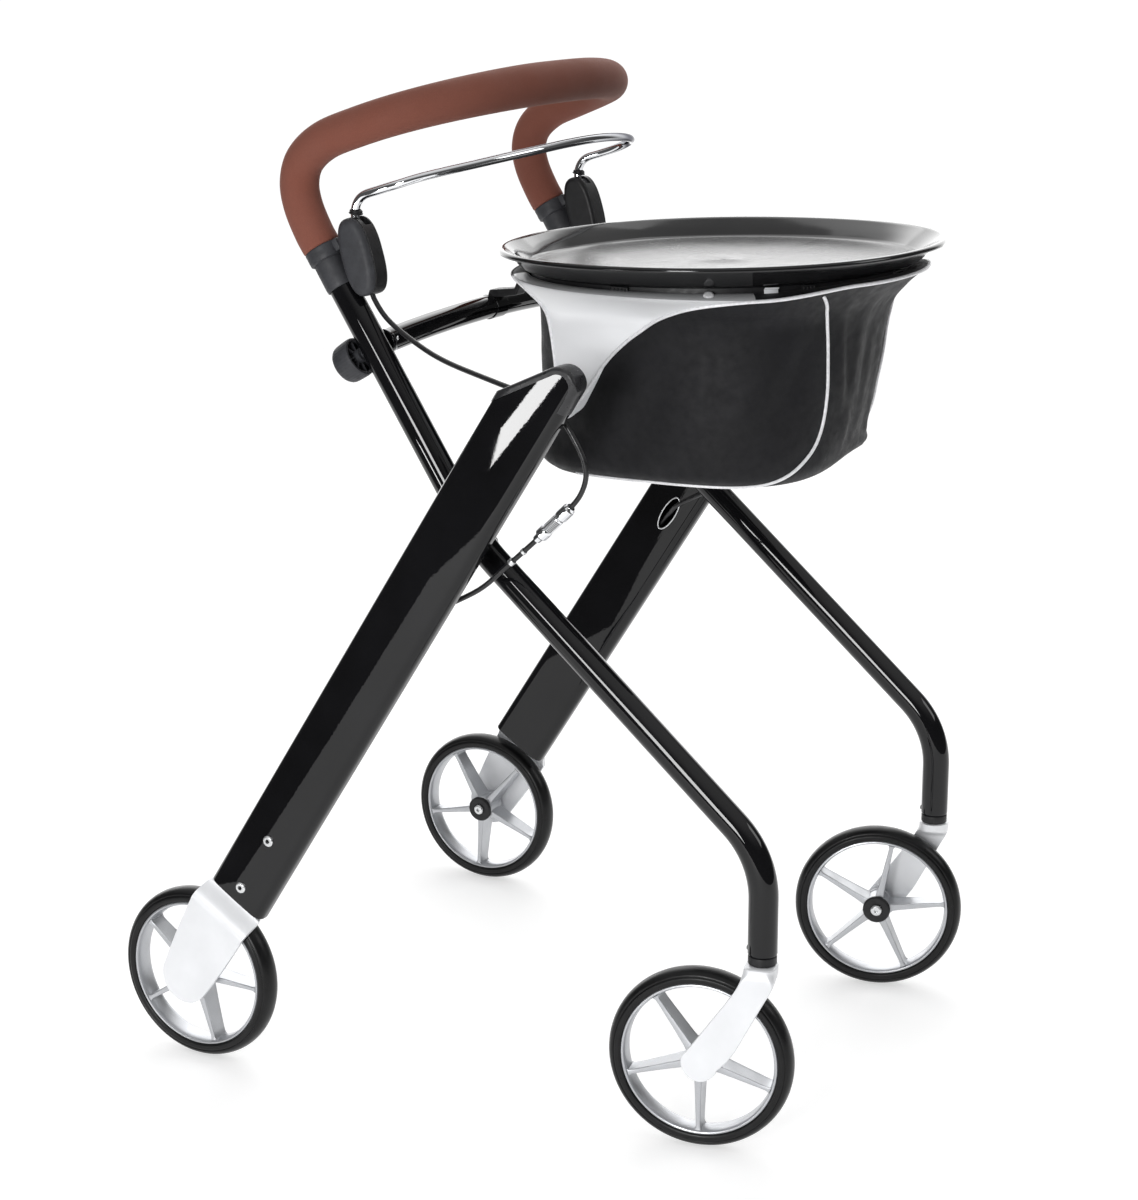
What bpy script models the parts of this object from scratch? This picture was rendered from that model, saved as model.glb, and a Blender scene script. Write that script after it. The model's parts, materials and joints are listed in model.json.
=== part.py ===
# Indoor rollator, four wheels, one-bar brake, serving tray and bag.
# +Z up, front toward -Y, the user stands on the +Y side, user's right is -X.
# The shape is drawn around a 180 mm wheel and scaled at the end to the real wheel.
import bpy
import bmesh
import math
from mathutils import Matrix, Vector

WHEEL_DIAMETER = 0.152          # real wheel diameter, metres
DRAWN_WHEEL = 0.180             # wheel diameter the drawing below is based on
K = WHEEL_DIAMETER / DRAWN_WHEEL
Y_SHIFT = 0.28022              # puts the middle of the length on the origin

GAP = 0.00036                   # running gap between touching pieces
R_WHEEL = 0.0900
TYRE_W = 0.0240
REAR_X = 0.2900                 # rear wheel centre plane
TUBE_X = 0.2240                 # frame tube plane
TUBE_R = 0.0140
TUBE_BORE = 0.0118
INNER_R = 0.0112
STEM_Y = -0.5960                # upright lower end of the frame tube
STEM_Z = 0.1930
BEND_LOW = (-0.5960, 0.2947)
BEND_MID = (-0.2980, 0.5555)    # bend and folding pivot
TUBE_TOP = (-0.1470, 0.7945)
TRAIL = 0.0574
SWIVEL_RIGHT = 11.5             # caster angles as they stand, degrees
SWIVEL_LEFT = 16.3
LEG_X = 0.2872
LEG_T = 0.0250
LEG_W = 0.0680
LEG_WALL = 0.0022
LEG_BOTTOM = (-0.0502, 0.1790)
LEG_ANGLE = 57.44               # leg slope above the floor, degrees
CROSS = (-0.1830, 0.7420)       # crossbar axis
CROSS_R = 0.0118
PIVOT_S = 0.4468                # pivot distance up the leg
GRIP_R = 0.0188
BAR_R = 0.0042
CABLE_R = 0.0025
TRAY_Y = -0.4411
TRAY_Z = 0.8293

# colour, roughness, metallic
BLACK_GLOSS = ((0.012, 0.012, 0.014), 0.16, 0.0)
BLACK_SATIN = ((0.020, 0.020, 0.022), 0.32, 0.0)
GREY_MATT = ((0.060, 0.062, 0.067), 0.60, 0.0)
BLACK_MATT = ((0.018, 0.018, 0.020), 0.65, 0.0)
SILVER = ((0.720, 0.730, 0.750), 0.38, 0.85)
CHROME = ((0.860, 0.860, 0.870), 0.08, 1.0)
STEEL = ((0.620, 0.620, 0.630), 0.30, 1.0)
RUBBER = ((0.016, 0.016, 0.017), 0.42, 0.0)
BROWN = ((0.245, 0.082, 0.058), 0.85, 0.0)
FABRIC = ((0.017, 0.017, 0.018), 0.90, 0.0)

for old in list(bpy.data.objects):
    bpy.data.objects.remove(old, do_unlink=True)
for old in list(bpy.data.meshes):
    bpy.data.meshes.remove(old)

COL = bpy.data.collections.new("indoor_rollator")
bpy.context.scene.collection.children.link(COL)
WORK = bpy.data.collections.new("cutters")
bpy.context.scene.collection.children.link(WORK)
MATS = {}


def material(look):
    key = str(look)
    if key not in MATS:
        m = bpy.data.materials.new("m%02d" % len(MATS))
        m.use_nodes = True
        b = m.node_tree.nodes["Principled BSDF"]
        b.inputs["Base Color"].default_value = (*look[0], 1.0)
        b.inputs["Roughness"].default_value = look[1]
        b.inputs["Metallic"].default_value = look[2]
        m.diffuse_color = (*look[0], 1.0)
        MATS[key] = m
    return MATS[key]


def link(name, mesh):
    ob = bpy.data.objects.new(name, mesh)
    WORK.objects.link(ob)
    return ob


def bake(ob):
    """The object's shape with its modifiers, as a plain mesh in world space."""
    bpy.context.view_layer.update()
    dg = bpy.context.evaluated_depsgraph_get()
    me = bpy.data.meshes.new_from_object(ob.evaluated_get(dg))
    me.transform(ob.matrix_world)
    name = ob.name
    data = ob.data
    bpy.data.objects.remove(ob, do_unlink=True)
    if isinstance(data, bpy.types.Curve):
        bpy.data.curves.remove(data)
    weld(me)
    return link(name, me)


def weld(me, dist=2e-6):
    bm = bmesh.new()
    bm.from_mesh(me)
    bmesh.ops.remove_doubles(bm, verts=bm.verts, dist=dist)
    bmesh.ops.dissolve_degenerate(bm, edges=bm.edges, dist=1e-7)
    bmesh.ops.delete(bm, geom=[e for e in bm.edges if not e.link_faces], context="EDGES")
    bmesh.ops.recalc_face_normals(bm, faces=bm.faces)
    if bm.calc_volume(signed=True) < 0:
        bmesh.ops.reverse_faces(bm, faces=bm.faces)
    bm.to_mesh(me)
    bm.free()
    return me


def frame_from(p0, p1):
    """A matrix whose Z runs from p0 to p1."""
    z = (Vector(p1) - Vector(p0)).normalized()
    x = Vector((1, 0, 0)) if abs(z.x) < 0.9 else Vector((0, 1, 0))
    y = z.cross(x).normalized()
    x = y.cross(z).normalized()
    m = Matrix((x, y, z)).transposed().to_4x4()
    m.translation = Vector(p0)
    return m


def lathe(profile, p0, p1, steps=24, closed=True):
    """Turn a profile of (radius, height) about the line p0-p1, heights from p0."""
    bm = bmesh.new()
    vs = [bm.verts.new((r, 0, h)) for r, h in profile]
    for a, b in zip(vs, vs[1:]):
        bm.edges.new((a, b))
    if closed:
        bm.edges.new((vs[-1], vs[0]))
    me = bpy.data.meshes.new("lathe")
    bm.to_mesh(me)
    bm.free()
    ob = link("lathe", me)
    s = ob.modifiers.new("screw", "SCREW")
    s.angle = 2 * math.pi
    s.steps = steps
    s.render_steps = steps
    s.use_merge_vertices = True
    s.merge_threshold = 0.00001
    ob.matrix_world = frame_from(p0, p1)
    return bake(ob)


def rod(p0, p1, r, steps=20, chamfer=0.0):
    """A plain round bar between two points."""
    length = (Vector(p1) - Vector(p0)).length
    if chamfer:
        prof = [(0, length), (r - chamfer, length), (r, length - chamfer), (r, chamfer), (r - chamfer, 0), (0, 0)]
        return lathe(prof, p0, p1, steps, closed=False)
    me = bpy.data.meshes.new("rod")
    bm = bmesh.new()
    bmesh.ops.create_cone(bm, cap_ends=True, segments=steps, radius1=r, radius2=r, depth=length,
                          matrix=Matrix.Translation((0, 0, length / 2)))
    bm.to_mesh(me)
    bm.free()
    ob = link("rod", me)
    ob.matrix_world = frame_from(p0, p1)
    return bake(ob)


def hollow_rod(p0, p1, r_out, r_in, steps=24):
    length = (Vector(p1) - Vector(p0)).length
    return lathe([(r_out, length), (r_out, 0), (r_in, 0), (r_in, length)], p0, p1, steps)


def sweep(points, r, res=3, radii=None, caps=True):
    """A round bar along a line of points; res sets the sides (4 + 2*res)."""
    cu = bpy.data.curves.new("sweep", "CURVE")
    cu.dimensions = "3D"
    cu.bevel_depth = r
    cu.bevel_resolution = res
    cu.use_fill_caps = caps
    cu.twist_mode = "MINIMUM"
    sp = cu.splines.new("POLY")
    sp.points.add(len(points) - 1)
    for i, p in enumerate(points):
        sp.points[i].co = (p[0], p[1], p[2], 1)
        sp.points[i].radius = radii[i] if radii else 1.0
    ob = bpy.data.objects.new("sweep", cu)
    WORK.objects.link(ob)
    return bake(ob)


def prism(loops, m, h0, h1):
    """Flat outlines (first outer, others holes) extruded from h0 to h1 along the matrix's Z."""
    cu = bpy.data.curves.new("prism", "CURVE")
    cu.dimensions = "2D"
    cu.fill_mode = "BOTH"
    cu.extrude = abs(h1 - h0) / 2
    for loop in loops:
        sp = cu.splines.new("POLY")
        sp.points.add(len(loop) - 1)
        sp.use_cyclic_u = True
        for i, p in enumerate(loop):
            sp.points[i].co = (p[0], p[1], 0, 1)
    ob = bpy.data.objects.new("prism", cu)
    WORK.objects.link(ob)
    ob.matrix_world = m @ Matrix.Translation((0, 0, (h0 + h1) / 2))
    return bake(ob)


def box(c, s, m=None):
    bm = bmesh.new()
    bmesh.ops.create_cube(bm, size=1.0, matrix=Matrix.Translation(Vector(c)) @ Matrix.Diagonal((*s, 1)))
    me = bpy.data.meshes.new("box")
    bm.to_mesh(me)
    bm.free()
    ob = link("box", me)
    if m is not None:
        ob.matrix_world = m
    return bake(ob)


def combine(a, b, how):
    """Boolean of two solids; the second is used up."""
    mod = a.modifiers.new("bool", "BOOLEAN")
    mod.operation = how
    mod.solver = "EXACT"
    mod.object = b
    b.hide_render = True
    out = bake(a)
    me = b.data
    bpy.data.objects.remove(b, do_unlink=True)
    bpy.data.meshes.remove(me)
    return out


def cut(a, *tools):
    for t in tools:
        a = combine(a, t, "DIFFERENCE")
    return a


def join(a, *tools):
    for t in tools:
        a = combine(a, t, "UNION")
    return a


def bevel(ob, width, seg=2, angle=30):
    b = ob.modifiers.new("bevel", "BEVEL")
    b.width = width
    b.segments = seg
    b.limit_method = "ANGLE"
    b.angle_limit = math.radians(angle)
    return bake(ob)


def done(name, ob, look, smooth=True):
    """Name the piece, give it its material and put it in the object's own collection."""
    ob.name = name
    ob.data.name = name
    me = ob.data
    me.materials.clear()
    me.materials.append(material(look))
    for p in me.polygons:
        p.use_smooth = smooth
    if smooth:
        me.set_sharp_from_angle(angle=math.radians(35))
    WORK.objects.unlink(ob)
    COL.objects.link(ob)
    return ob


def mirrored(name, ob, look=None):
    """The same piece on the user's left."""
    me = ob.data.copy()
    bm = bmesh.new()
    bm.from_mesh(me)
    bmesh.ops.transform(bm, matrix=Matrix.Diagonal((-1, 1, 1, 1)), verts=bm.verts)
    bmesh.ops.reverse_faces(bm, faces=bm.faces)
    bm.to_mesh(me)
    bm.free()
    me.name = name
    o = bpy.data.objects.new(name, me)
    COL.objects.link(o)
    return o


def arc(corner, a, b, radius, n):
    """Points of the round that replaces the corner between directions to a and b (2-D)."""
    c = Vector(corner)
    u = (Vector(a) - c).normalized()
    v = (Vector(b) - c).normalized()
    ang = u.angle(v)
    t = radius / math.tan(ang / 2)
    centre = c + (u + v).normalized() * (radius / math.sin(ang / 2))
    p = c + u * t - centre
    q = c + v * t - centre
    turn = p.angle_signed(q)
    out = []
    for i in range(n + 1):
        f = turn * i / n
        out.append(centre + Vector((p.x * math.cos(f) + p.y * math.sin(f), -p.x * math.sin(f) + p.y * math.cos(f))))
    return out


def yz(x, pts):
    return [(x, p[0], p[1]) for p in pts]


def rounded_rect(w, h, r, n=4):
    out = []
    for cx, cy, a0 in ((w / 2 - r, h / 2 - r, 0), (-w / 2 + r, h / 2 - r, 90), (-w / 2 + r, -h / 2 + r, 180), (w / 2 - r, -h / 2 + r, 270)):
        for i in range(n + 1):
            a = math.radians(a0 + 90 * i / n)
            out.append((cx + r * math.cos(a), cy + r * math.sin(a)))
    return out


def oval(ax, ay, n, e=0.93):
    out = []
    for i in range(n):
        t = 2 * math.pi * i / n
        c, s = math.cos(t), math.sin(t)
        out.append((ax * math.copysign(abs(c) ** e, c), ay * math.copysign(abs(s) ** e, s)))
    return out


# ---------------------------------------------------------------- frame tubes
top = Vector(TUBE_TOP)
mid = Vector(BEND_MID)
low = Vector(BEND_LOW)
up = (top - mid).normalized()                    # up the handle part of the tube
down = (low - mid).normalized()
front_n = Vector((-up.y, up.x))                  # across the tube, toward the front


def on_tube(l, off=0.0):
    """A (y, z) point l above the tube's upper end and off in front of its axis."""
    return top + up * l + front_n * off


path = [Vector((STEM_Y, STEM_Z))]
path += arc(BEND_LOW, (STEM_Y, STEM_Z), BEND_MID, 0.090, 7)
path += arc(BEND_MID, BEND_LOW, TUBE_TOP, 0.150, 4)
path += [top]
tube = sweep(yz(-TUBE_X, path), TUBE_R, 5)
tube = cut(tube,
           rod((-TUBE_X, *on_tube(-0.212)), (-TUBE_X, *on_tube(0.01)), TUBE_BORE, 20),
           rod((-TUBE_X, STEM_Y, STEM_Z - 0.01), (-TUBE_X, STEM_Y, STEM_Z + 0.050), 0.0076, 16),
           rod((-TUBE_X - 0.03, *mid), (-TUBE_X + 0.03, *mid), 0.0047, 14))
knob_at = on_tube(-0.0632)
tube = cut(tube, rod((-TUBE_X, *knob_at), (-TUBE_X, *(knob_at - front_n * 0.03)), 0.0036, 12))
tube = done("frame_tube_right", tube, BLACK_GLOSS)
mirrored("frame_tube_left", tube)

# crossbar between the tubes, with the bracket that carries the holder ring
cx = TUBE_X - TUBE_R - GAP
done("crossbar", rod((-cx, *CROSS), (cx, *CROSS), CROSS_R, 20), BLACK_GLOSS)

# guide sleeves on the tube ends
sl = lathe([(0.0158, 0.0), (0.0158, 0.0355), (0.0148, 0.0375), (INNER_R + GAP, 0.0375), (INNER_R + GAP, 0.0095),
            (TUBE_R + GAP, 0.0095), (TUBE_R + GAP, 0.0)][::-1],
           (-TUBE_X, *on_tube(-0.0095 + GAP)), (-TUBE_X, *on_tube(0.1)), 20)
sl = done("tube_sleeve_right", sl, GREY_MATT)
mirrored("tube_sleeve_left", sl)

# ---------------------------------------------------------------- handlebar
HANDLE = [(-0.2240, *on_tube(0.036)), (-0.2240, *on_tube(0.058)), (-0.2235, -0.1045, 0.868), (-0.2230, -0.1010, 0.890),
          (-0.2230, -0.1085, 0.911), (-0.2220, -0.1300, 0.929), (-0.2170, -0.1620, 0.942), (-0.2010, -0.1960, 0.954),
          (-0.1690, -0.2270, 0.964), (-0.1210, -0.2490, 0.971), (-0.0620, -0.2610, 0.975), (0.0, -0.2650, 0.976)]


def smooth_half(pts, steps):
    """Catmull-Rom points along half a bar that is symmetric about the middle."""
    pts = [Vector(p) for p in pts]
    full = [pts[0] * 2 - pts[1]] + pts + [Vector((-pts[-2].x, pts[-2].y, pts[-2].z))]
    out = []
    for i in range(1, len(full) - 2):
        for j in range(steps):
            t = j / steps
            a, b, c, d = full[i - 1], full[i], full[i + 1], full[i + 2]
            out.append(0.5 * ((2 * b) + (c - a) * t + (2 * a - 5 * b + 4 * c - d) * t * t + (3 * b - a - 3 * c + d) * t ** 3))
    out.append(pts[-1])
    return out


def thin(pts, keep):
    """Every second point of the gentle part of a bar, from index keep on."""
    return pts[:keep] + [p for i, p in enumerate(pts[keep:]) if i % 2 == 0]


def both(half):
    return half + [Vector((-p.x, p.y, p.z)) for p in reversed(half[:-1])]


half = smooth_half(HANDLE, 2)
half = thin(half, 16)
inner = [Vector((-TUBE_X, *on_tube(-0.195))), Vector((-TUBE_X, *on_tube(-0.06)))] + half
done("handlebar_tube", sweep(both(inner), INNER_R, 3), STEEL)

# foam grip round the handlebar, a little thicker across the front
hg = [p for p in half if p.z > on_tube(0.050).y]
hg = [Vector((-0.2240, *on_tube(0.0460)))] + hg
n = len(hg)
rad = [1.0 + 0.10 * min(1.0, max(0.0, (i - n * 0.35) / (n * 0.5))) for i in range(n)]
skin = sweep(both(hg), GRIP_R, 4, rad + list(reversed(rad[:-1])), caps=False)
so = skin.modifiers.new("wall", "SOLIDIFY")
so.thickness = GRIP_R - INNER_R - 2 * GAP
so.offset = -1
so.use_even_offset = False
so.use_rim = True
grip = bake(skin)
done("handle_grip", grip, BROWN)

# clamp rings under the grip, one piece with the arm that holds each brake housing
rg = lathe([(0.0182, 0.0), (0.0186, 0.0015), (0.0186, 0.0065), (0.0182, 0.0075), (INNER_R + GAP, 0.0075), (INNER_R + GAP, 0.0)][::-1],
           (-TUBE_X, *on_tube(0.0380)), (-TUBE_X, *on_tube(0.1)), 24)

# ---------------------------------------------------------------- brake housings
POD_C = Vector((-0.1707, 0.8229))
POD_T = math.radians(16.0)
pod_u = Vector((math.sin(POD_T), math.cos(POD_T)))     # up the pod
pod_w = Vector((math.cos(POD_T), -math.sin(POD_T)))    # toward the user
POD_HL, POD_HW = 0.0375, 0.0165


def pod_loop(grow, n=10):
    """Long round outline of the housing in (y, z), egg-shaped, grown by a margin."""
    out = []
    for i in range(2 * n):
        a = math.pi * 2 * i / (2 * n)
        c, s = math.cos(a), math.sin(a)
        r1 = POD_HW + grow
        h = POD_HL + grow
        w = r1 * math.copysign(abs(c) ** 0.75, c)
        v = h * math.copysign(abs(s) ** 0.75, s)
        p = POD_C + pod_w * w + pod_u * v
        out.append((p.x, p.y))
    return out


X_UP = Matrix(((0, 0, 1, 0), (1, 0, 0, 0), (0, 1, 0, 0), (0, 0, 0, 1)))   # flat (y, z) outlines, extruded along X
pod = prism([pod_loop(0)], X_UP, -0.2325, -0.2090)
pod = bevel(pod, 0.0022, 2, 40)
pod = cut(pod, prism([pod_loop(-0.0026)], X_UP, -0.2400, -0.2114))
# hollow along the back that clears the tube's sleeve
pod = cut(pod, rod((-TUBE_X, *on_tube(-0.035)), (-TUBE_X, *on_tube(0.0305)), 0.0166, 24))
# slot at the top where the brake bar leaves
sc = POD_C + pod_u * 0.0330
pod = cut(pod, box((0, 0, 0), (0.0118, 0.0262, 0.020),
                   Matrix.Translation((-0.2210, sc.x, sc.y)) @ Matrix.Rotation(-POD_T, 4, "X")))
# opening at the foot for the cable
fc = POD_C - pod_u * 0.0345
pod = cut(pod, box((0, 0, 0), (0.0085, 0.0085, 0.018),
                   Matrix.Translation((-0.2220, fc.x, fc.y)) @ Matrix.Rotation(-POD_T, 4, "X")))
# arm from the clamp ring to the housing
arm_c = on_tube(0.0418, 0.0166)
arm = box((0, 0, 0), (0.0150, 0.0070, 0.0068), Matrix.Translation((-TUBE_X, arm_c.x, arm_c.y)) @ Matrix.Rotation(math.atan2(up.y, up.x) - math.pi / 2, 4, "X"))
rg = join(rg, cut(arm, prism([pod_loop(GAP)], X_UP, -0.25, -0.20)))
rg = done("grip_clamp_right", rg, GREY_MATT)
mirrored("grip_clamp_left", rg)

PIN = POD_C - pod_u * 0.0080
cover = prism([pod_loop(0)], X_UP, -0.2392, -0.2325 - GAP)
cover = bevel(cover, 0.0036, 3, 40)
# the seam side of the cover is flat again
cover = cut(cover, box((-0.2225, POD_C.x, POD_C.y), (0.0192, 0.12, 0.12)))
cover = cut(cover, rod((-TUBE_X, *on_tube(-0.035)), (-TUBE_X, *on_tube(0.0305)), 0.0166, 24))
cover = join(cover, rod((-0.2340, *PIN), (-0.2118, *PIN), 0.0021, 12))
cover = done("brake_cover_right", cover, GREY_MATT)
mirrored("brake_cover_left", cover)
pod = done("brake_housing_right", pod, BLACK_MATT)
mirrored("brake_housing_left", pod)

# ---------------------------------------------------------------- brake bar
exit_p = Vector((-0.1620, 0.8570))
BARP = [(-0.2210, *(PIN + pod_u * 0.003)), (-0.2212, *(PIN + (exit_p - PIN) * 0.55)), (-0.2220, -0.1625, 0.8580), (-0.2225, -0.1645, 0.8710),
        (-0.2230, -0.1730, 0.8800), (-0.2238, -0.1910, 0.8860), (-0.2215, -0.2100, 0.8920), (-0.2110, -0.2270, 0.8980),
        (-0.1900, -0.2430, 0.9030), (-0.1610, -0.2580, 0.9075), (-0.1260, -0.2720, 0.9120), (-0.0860, -0.2840, 0.9160),
        (-0.0430, -0.2910, 0.9190), (0.0, -0.2935, 0.9200)]
bar = sweep(both(thin(smooth_half(BARP, 2), 18)), BAR_R, 2)
for sgn in (-1, 1):
    bar = join(bar, rod((sgn * 0.2166, *PIN), (sgn * 0.2254, *PIN), 0.0058, 16))
for sgn in (-1, 1):
    bar = cut(bar, rod((sgn * 0.2100, *PIN), (sgn * 0.2330, *PIN), 0.0025, 12))
done("brake_bar", bar, CHROME)

bdir = (Vector((-0.2225, -0.1645, 0.8710)) - Vector((-0.2220, -0.1625, 0.8580))).normalized()
b0 = Vector((-0.2222, -0.1632, 0.8632))
co = hollow_rod(b0, b0 + bdir * 0.0050, 0.0070, BAR_R + 0.0010, 16)
co = done("bar_collar_right", co, BLACK_MATT)
mirrored("bar_collar_left", co)

# ---------------------------------------------------------------- height clamp knobs
kd = -front_n
k0 = on_tube(-0.0632) + kd * (TUBE_R + 0.0055)
kr = []
for i in range(24):
    a = 2 * math.pi * i / 24
    r = 0.0196 - (0.0010 if i % 2 else 0.0)
    kr.append((r * math.cos(a), r * math.sin(a)))
m = frame_from((-TUBE_X, *k0), (-TUBE_X, *(k0 + kd)))
knob = prism([kr], m, 0.0, 0.0215)
knob = bevel(knob, 0.0028, 1, 60)
knob = cut(knob, rod((-TUBE_X, *(k0 - kd * 0.004)), (-TUBE_X, *(k0 + kd * 0.006)), 0.0158, 16))
knob = join(knob, rod((-TUBE_X, *(k0 - kd * 0.0030)), (-TUBE_X, *(k0 + kd * 0.012)), 0.0070, 12),
            rod((-TUBE_X, *(on_tube(-0.0632) + kd * (INNER_R + GAP))), (-TUBE_X, *(k0 + kd * 0.010)), 0.0032, 12))
knob = done("clamp_knob_right", knob, GREY_MATT)
mirrored("clamp_knob_left", knob)

# ---------------------------------------------------------------- rear legs
la = math.radians(LEG_ANGLE)
leg_s = Vector((-math.cos(la), math.sin(la)))          # up the leg
leg_w = Vector((-math.sin(la), -math.cos(la)))         # across, toward the front
lb = Vector(LEG_BOTTOM)


def leg(s, w=0.0):
    return lb + leg_s * s + leg_w * w


# matrix whose X is across the leg, Y is the user's left, Z is up the leg
LM = Matrix(((0, 1, 0, -LEG_X), (leg_w.x, 0, leg_s.x, lb.x), (leg_w.y, 0, leg_s.y, lb.y), (0, 0, 0, 1)))
if LM.determinant() < 0:
    LM = LM @ Matrix.Diagonal((1, -1, 1, 1))
outer = rounded_rect(LEG_W, LEG_T, 0.0098, 5)
hollow = rounded_rect(LEG_W - 2 * LEG_WALL, LEG_T - 2 * LEG_WALL, 0.0076, 5)


def leg_side(inset):
    """Side view of the leg in (y, z): square foot, round nose at the top front corner."""
    c = (0.0160, 0.6640)
    r = 0.0180 - inset
    w0 = -LEG_W / 2 - 0.004
    pts = [(w0, -0.0), (LEG_W / 2 + 0.004, -0.0), (LEG_W / 2 + 0.004, 0.655)]
    for i in range(9):
        a = math.radians(-10 + (57 + 90 + 10) * i / 8)
        pts.append((c[0] + r * math.cos(a), c[1] + r * math.sin(a)))
    last = pts[-1]
    t = (w0 - last[0]) / -math.cos(math.radians(57))
    pts.append((w0, last[1] - math.sin(math.radians(57)) * t))
    out = []
    for w, s in pts:
        p = leg(s, w)
        out.append((p.x, p.y))
    return out


def side_prism(inset):
    return prism([leg_side(inset)], X_UP, -LEG_X - 0.02, -LEG_X + 0.02)


shell = combine(prism([outer, hollow], LM, 0.0, 0.70), side_prism(0.0062), "INTERSECT")
cap = combine(prism([outer], LM, 0.50, 0.72), side_prism(0.0), "INTERSECT")
cap = cut(cap, side_prism(0.0062 - GAP))
shell = cut(shell,
            rod((-LEG_X + 0.0045, *mid), (-LEG_X + 0.03, *mid), 0.0048, 16),
            rod((-LEG_X - 0.03, *leg(0.0175)), (-LEG_X - 0.004, *leg(0.0175)), 0.0033, 12),
            rod((-LEG_X - 0.03, *leg(0.0830)), (-LEG_X - 0.004, *leg(0.0830)), 0.0033, 12))
# long hole where the cable slips into the leg
entry = []
for i in range(16):
    a = 2 * math.pi * i / 16
    p = leg(0.3635 + 0.0215 * math.sin(a), 0.0050 + 0.0075 * math.cos(a))
    entry.append((p.x, p.y))
shell = cut(shell, prism([entry], X_UP, -LEG_X + 0.004, -LEG_X + 0.030))
shell = done("rear_leg_right", shell, BLACK_GLOSS)
mirrored("rear_leg_left", shell)
cap = done("leg_cap_right", cap, GREY_MATT)
mirrored("leg_cap_left", cap)

# folding pivot: bolt with a spacer between tube and leg
pv = lathe([(0.0, 0.0), (0.0080, 0.0), (0.0080, 0.0030), (0.0070, 0.0045), (0.0043, 0.0045), (0.0043, 0.0800), (0.0, 0.0800)][::-1],
           (-TUBE_X + TUBE_R + GAP + 0.0045, *mid), (-TUBE_X - 1, *mid), 16, closed=False)
pv = done("pivot_bolt_right", pv, STEEL)
mirrored("pivot_bolt_left", pv)
sp = hollow_rod((-TUBE_X - TUBE_R - GAP, *mid), (-LEG_X + LEG_T / 2 + GAP, *mid), 0.0120, 0.0047, 20)
sp = done("pivot_spacer_right", sp, BLACK_MATT)
mirrored("pivot_spacer_left", sp)

# ---------------------------------------------------------------- rear forks
ex = 0.0019
es = -0.1051
er = 0.0275
fo = []
for w, s in ((-0.0262, 0.118), (-0.0262, -0.001), (-0.0335, -0.0022), (-0.0345, -0.006), (-0.0362, -0.018)):
    fo.append((w, s))
for i in range(13):
    a = math.radians(192 + (360 + -10 - 192) * i / 12)
    fo.append((ex + er * math.cos(a), es + er * math.sin(a)))
for w, s in ((0.0345, -0.016), (0.0338, -0.006), (0.0332, -0.0022), (0.0262, -0.001), (0.0262, 0.118)):
    fo.append((w, s))
loop = []
for w, s in fo:
    p = leg(s, w)
    loop.append((p.x, p.y))
plate = prism([loop], X_UP, -0.3200, -0.2880)
x_in, x_out, th = -0.2928, -0.3085, 0.0042
prof = [(x_in, 0.13), (x_in, -0.003), (x_out, -0.022), (x_out, -0.16), (x_out - th, -0.16), (x_out - th, -0.0205), (x_in - th, -0.0015), (x_in - th, 0.13)]
# (x, s) profile of the bent sheet, extruded across the leg
PM = Matrix(((1, 0, 0, 0), (0, leg_s.x, leg_w.x, lb.x), (0, leg_s.y, leg_w.y, lb.y), (0, 0, 0, 1)))
sheet = prism([prof], PM, -0.06, 0.06)
fork = combine(plate, sheet, "INTERSECT")
fork = cut(fork,
           rod((-0.3065, *leg(0.0175)), (-0.2900, *leg(0.0175)), 0.0029, 12),
           rod((-0.3065, *leg(0.0830)), (-0.2900, *leg(0.0830)), 0.0029, 12),
           rod((-0.3112, 0.0, R_WHEEL), (-0.2900, 0.0, R_WHEEL), 0.0044, 14))
fork = done("rear_fork_right", fork, SILVER)
mirrored("rear_fork_left", fork)

for tag, s in (("lower", 0.0175), ("upper", 0.0830)):
    fx = -LEG_X - LEG_T / 2
    scr = lathe([(0.0, -0.0022), (0.0042, -0.0022), (0.0054, -0.0008), (0.0054, 0.0 - GAP), (0.0026, 0.0 - GAP), (0.0026, 0.0080), (0.0, 0.0080)],
                (fx, *leg(s)), (fx + 1, *leg(s)), 12, closed=False)
    scr = cut(scr, rod((fx - 0.004, *leg(s)), (fx - 0.0008, *leg(s)), 0.0022, 6))
    scr = done("fork_screw_%s_right" % tag, scr, STEEL)
    mirrored("fork_screw_%s_left" % tag, scr)

# brake shoes in the feet of the legs
sh = box((0, 0, 0), (0.0130, 0.0320, 0.0200), Matrix.Translation((-0.2848, *leg(0.0115))) @ Matrix.Rotation(math.pi / 2 - la, 4, "X"))
sh = cut(sh, rod((-0.32, 0.0, R_WHEEL), (-0.26, 0.0, R_WHEEL), R_WHEEL + 0.0152, 72))
sh = done("brake_shoe_right", sh, RUBBER)
mirrored("brake_shoe_left", sh)

# ---------------------------------------------------------------- wheels
RIM_R = 0.0762
TYRE_STEPS = 32


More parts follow.
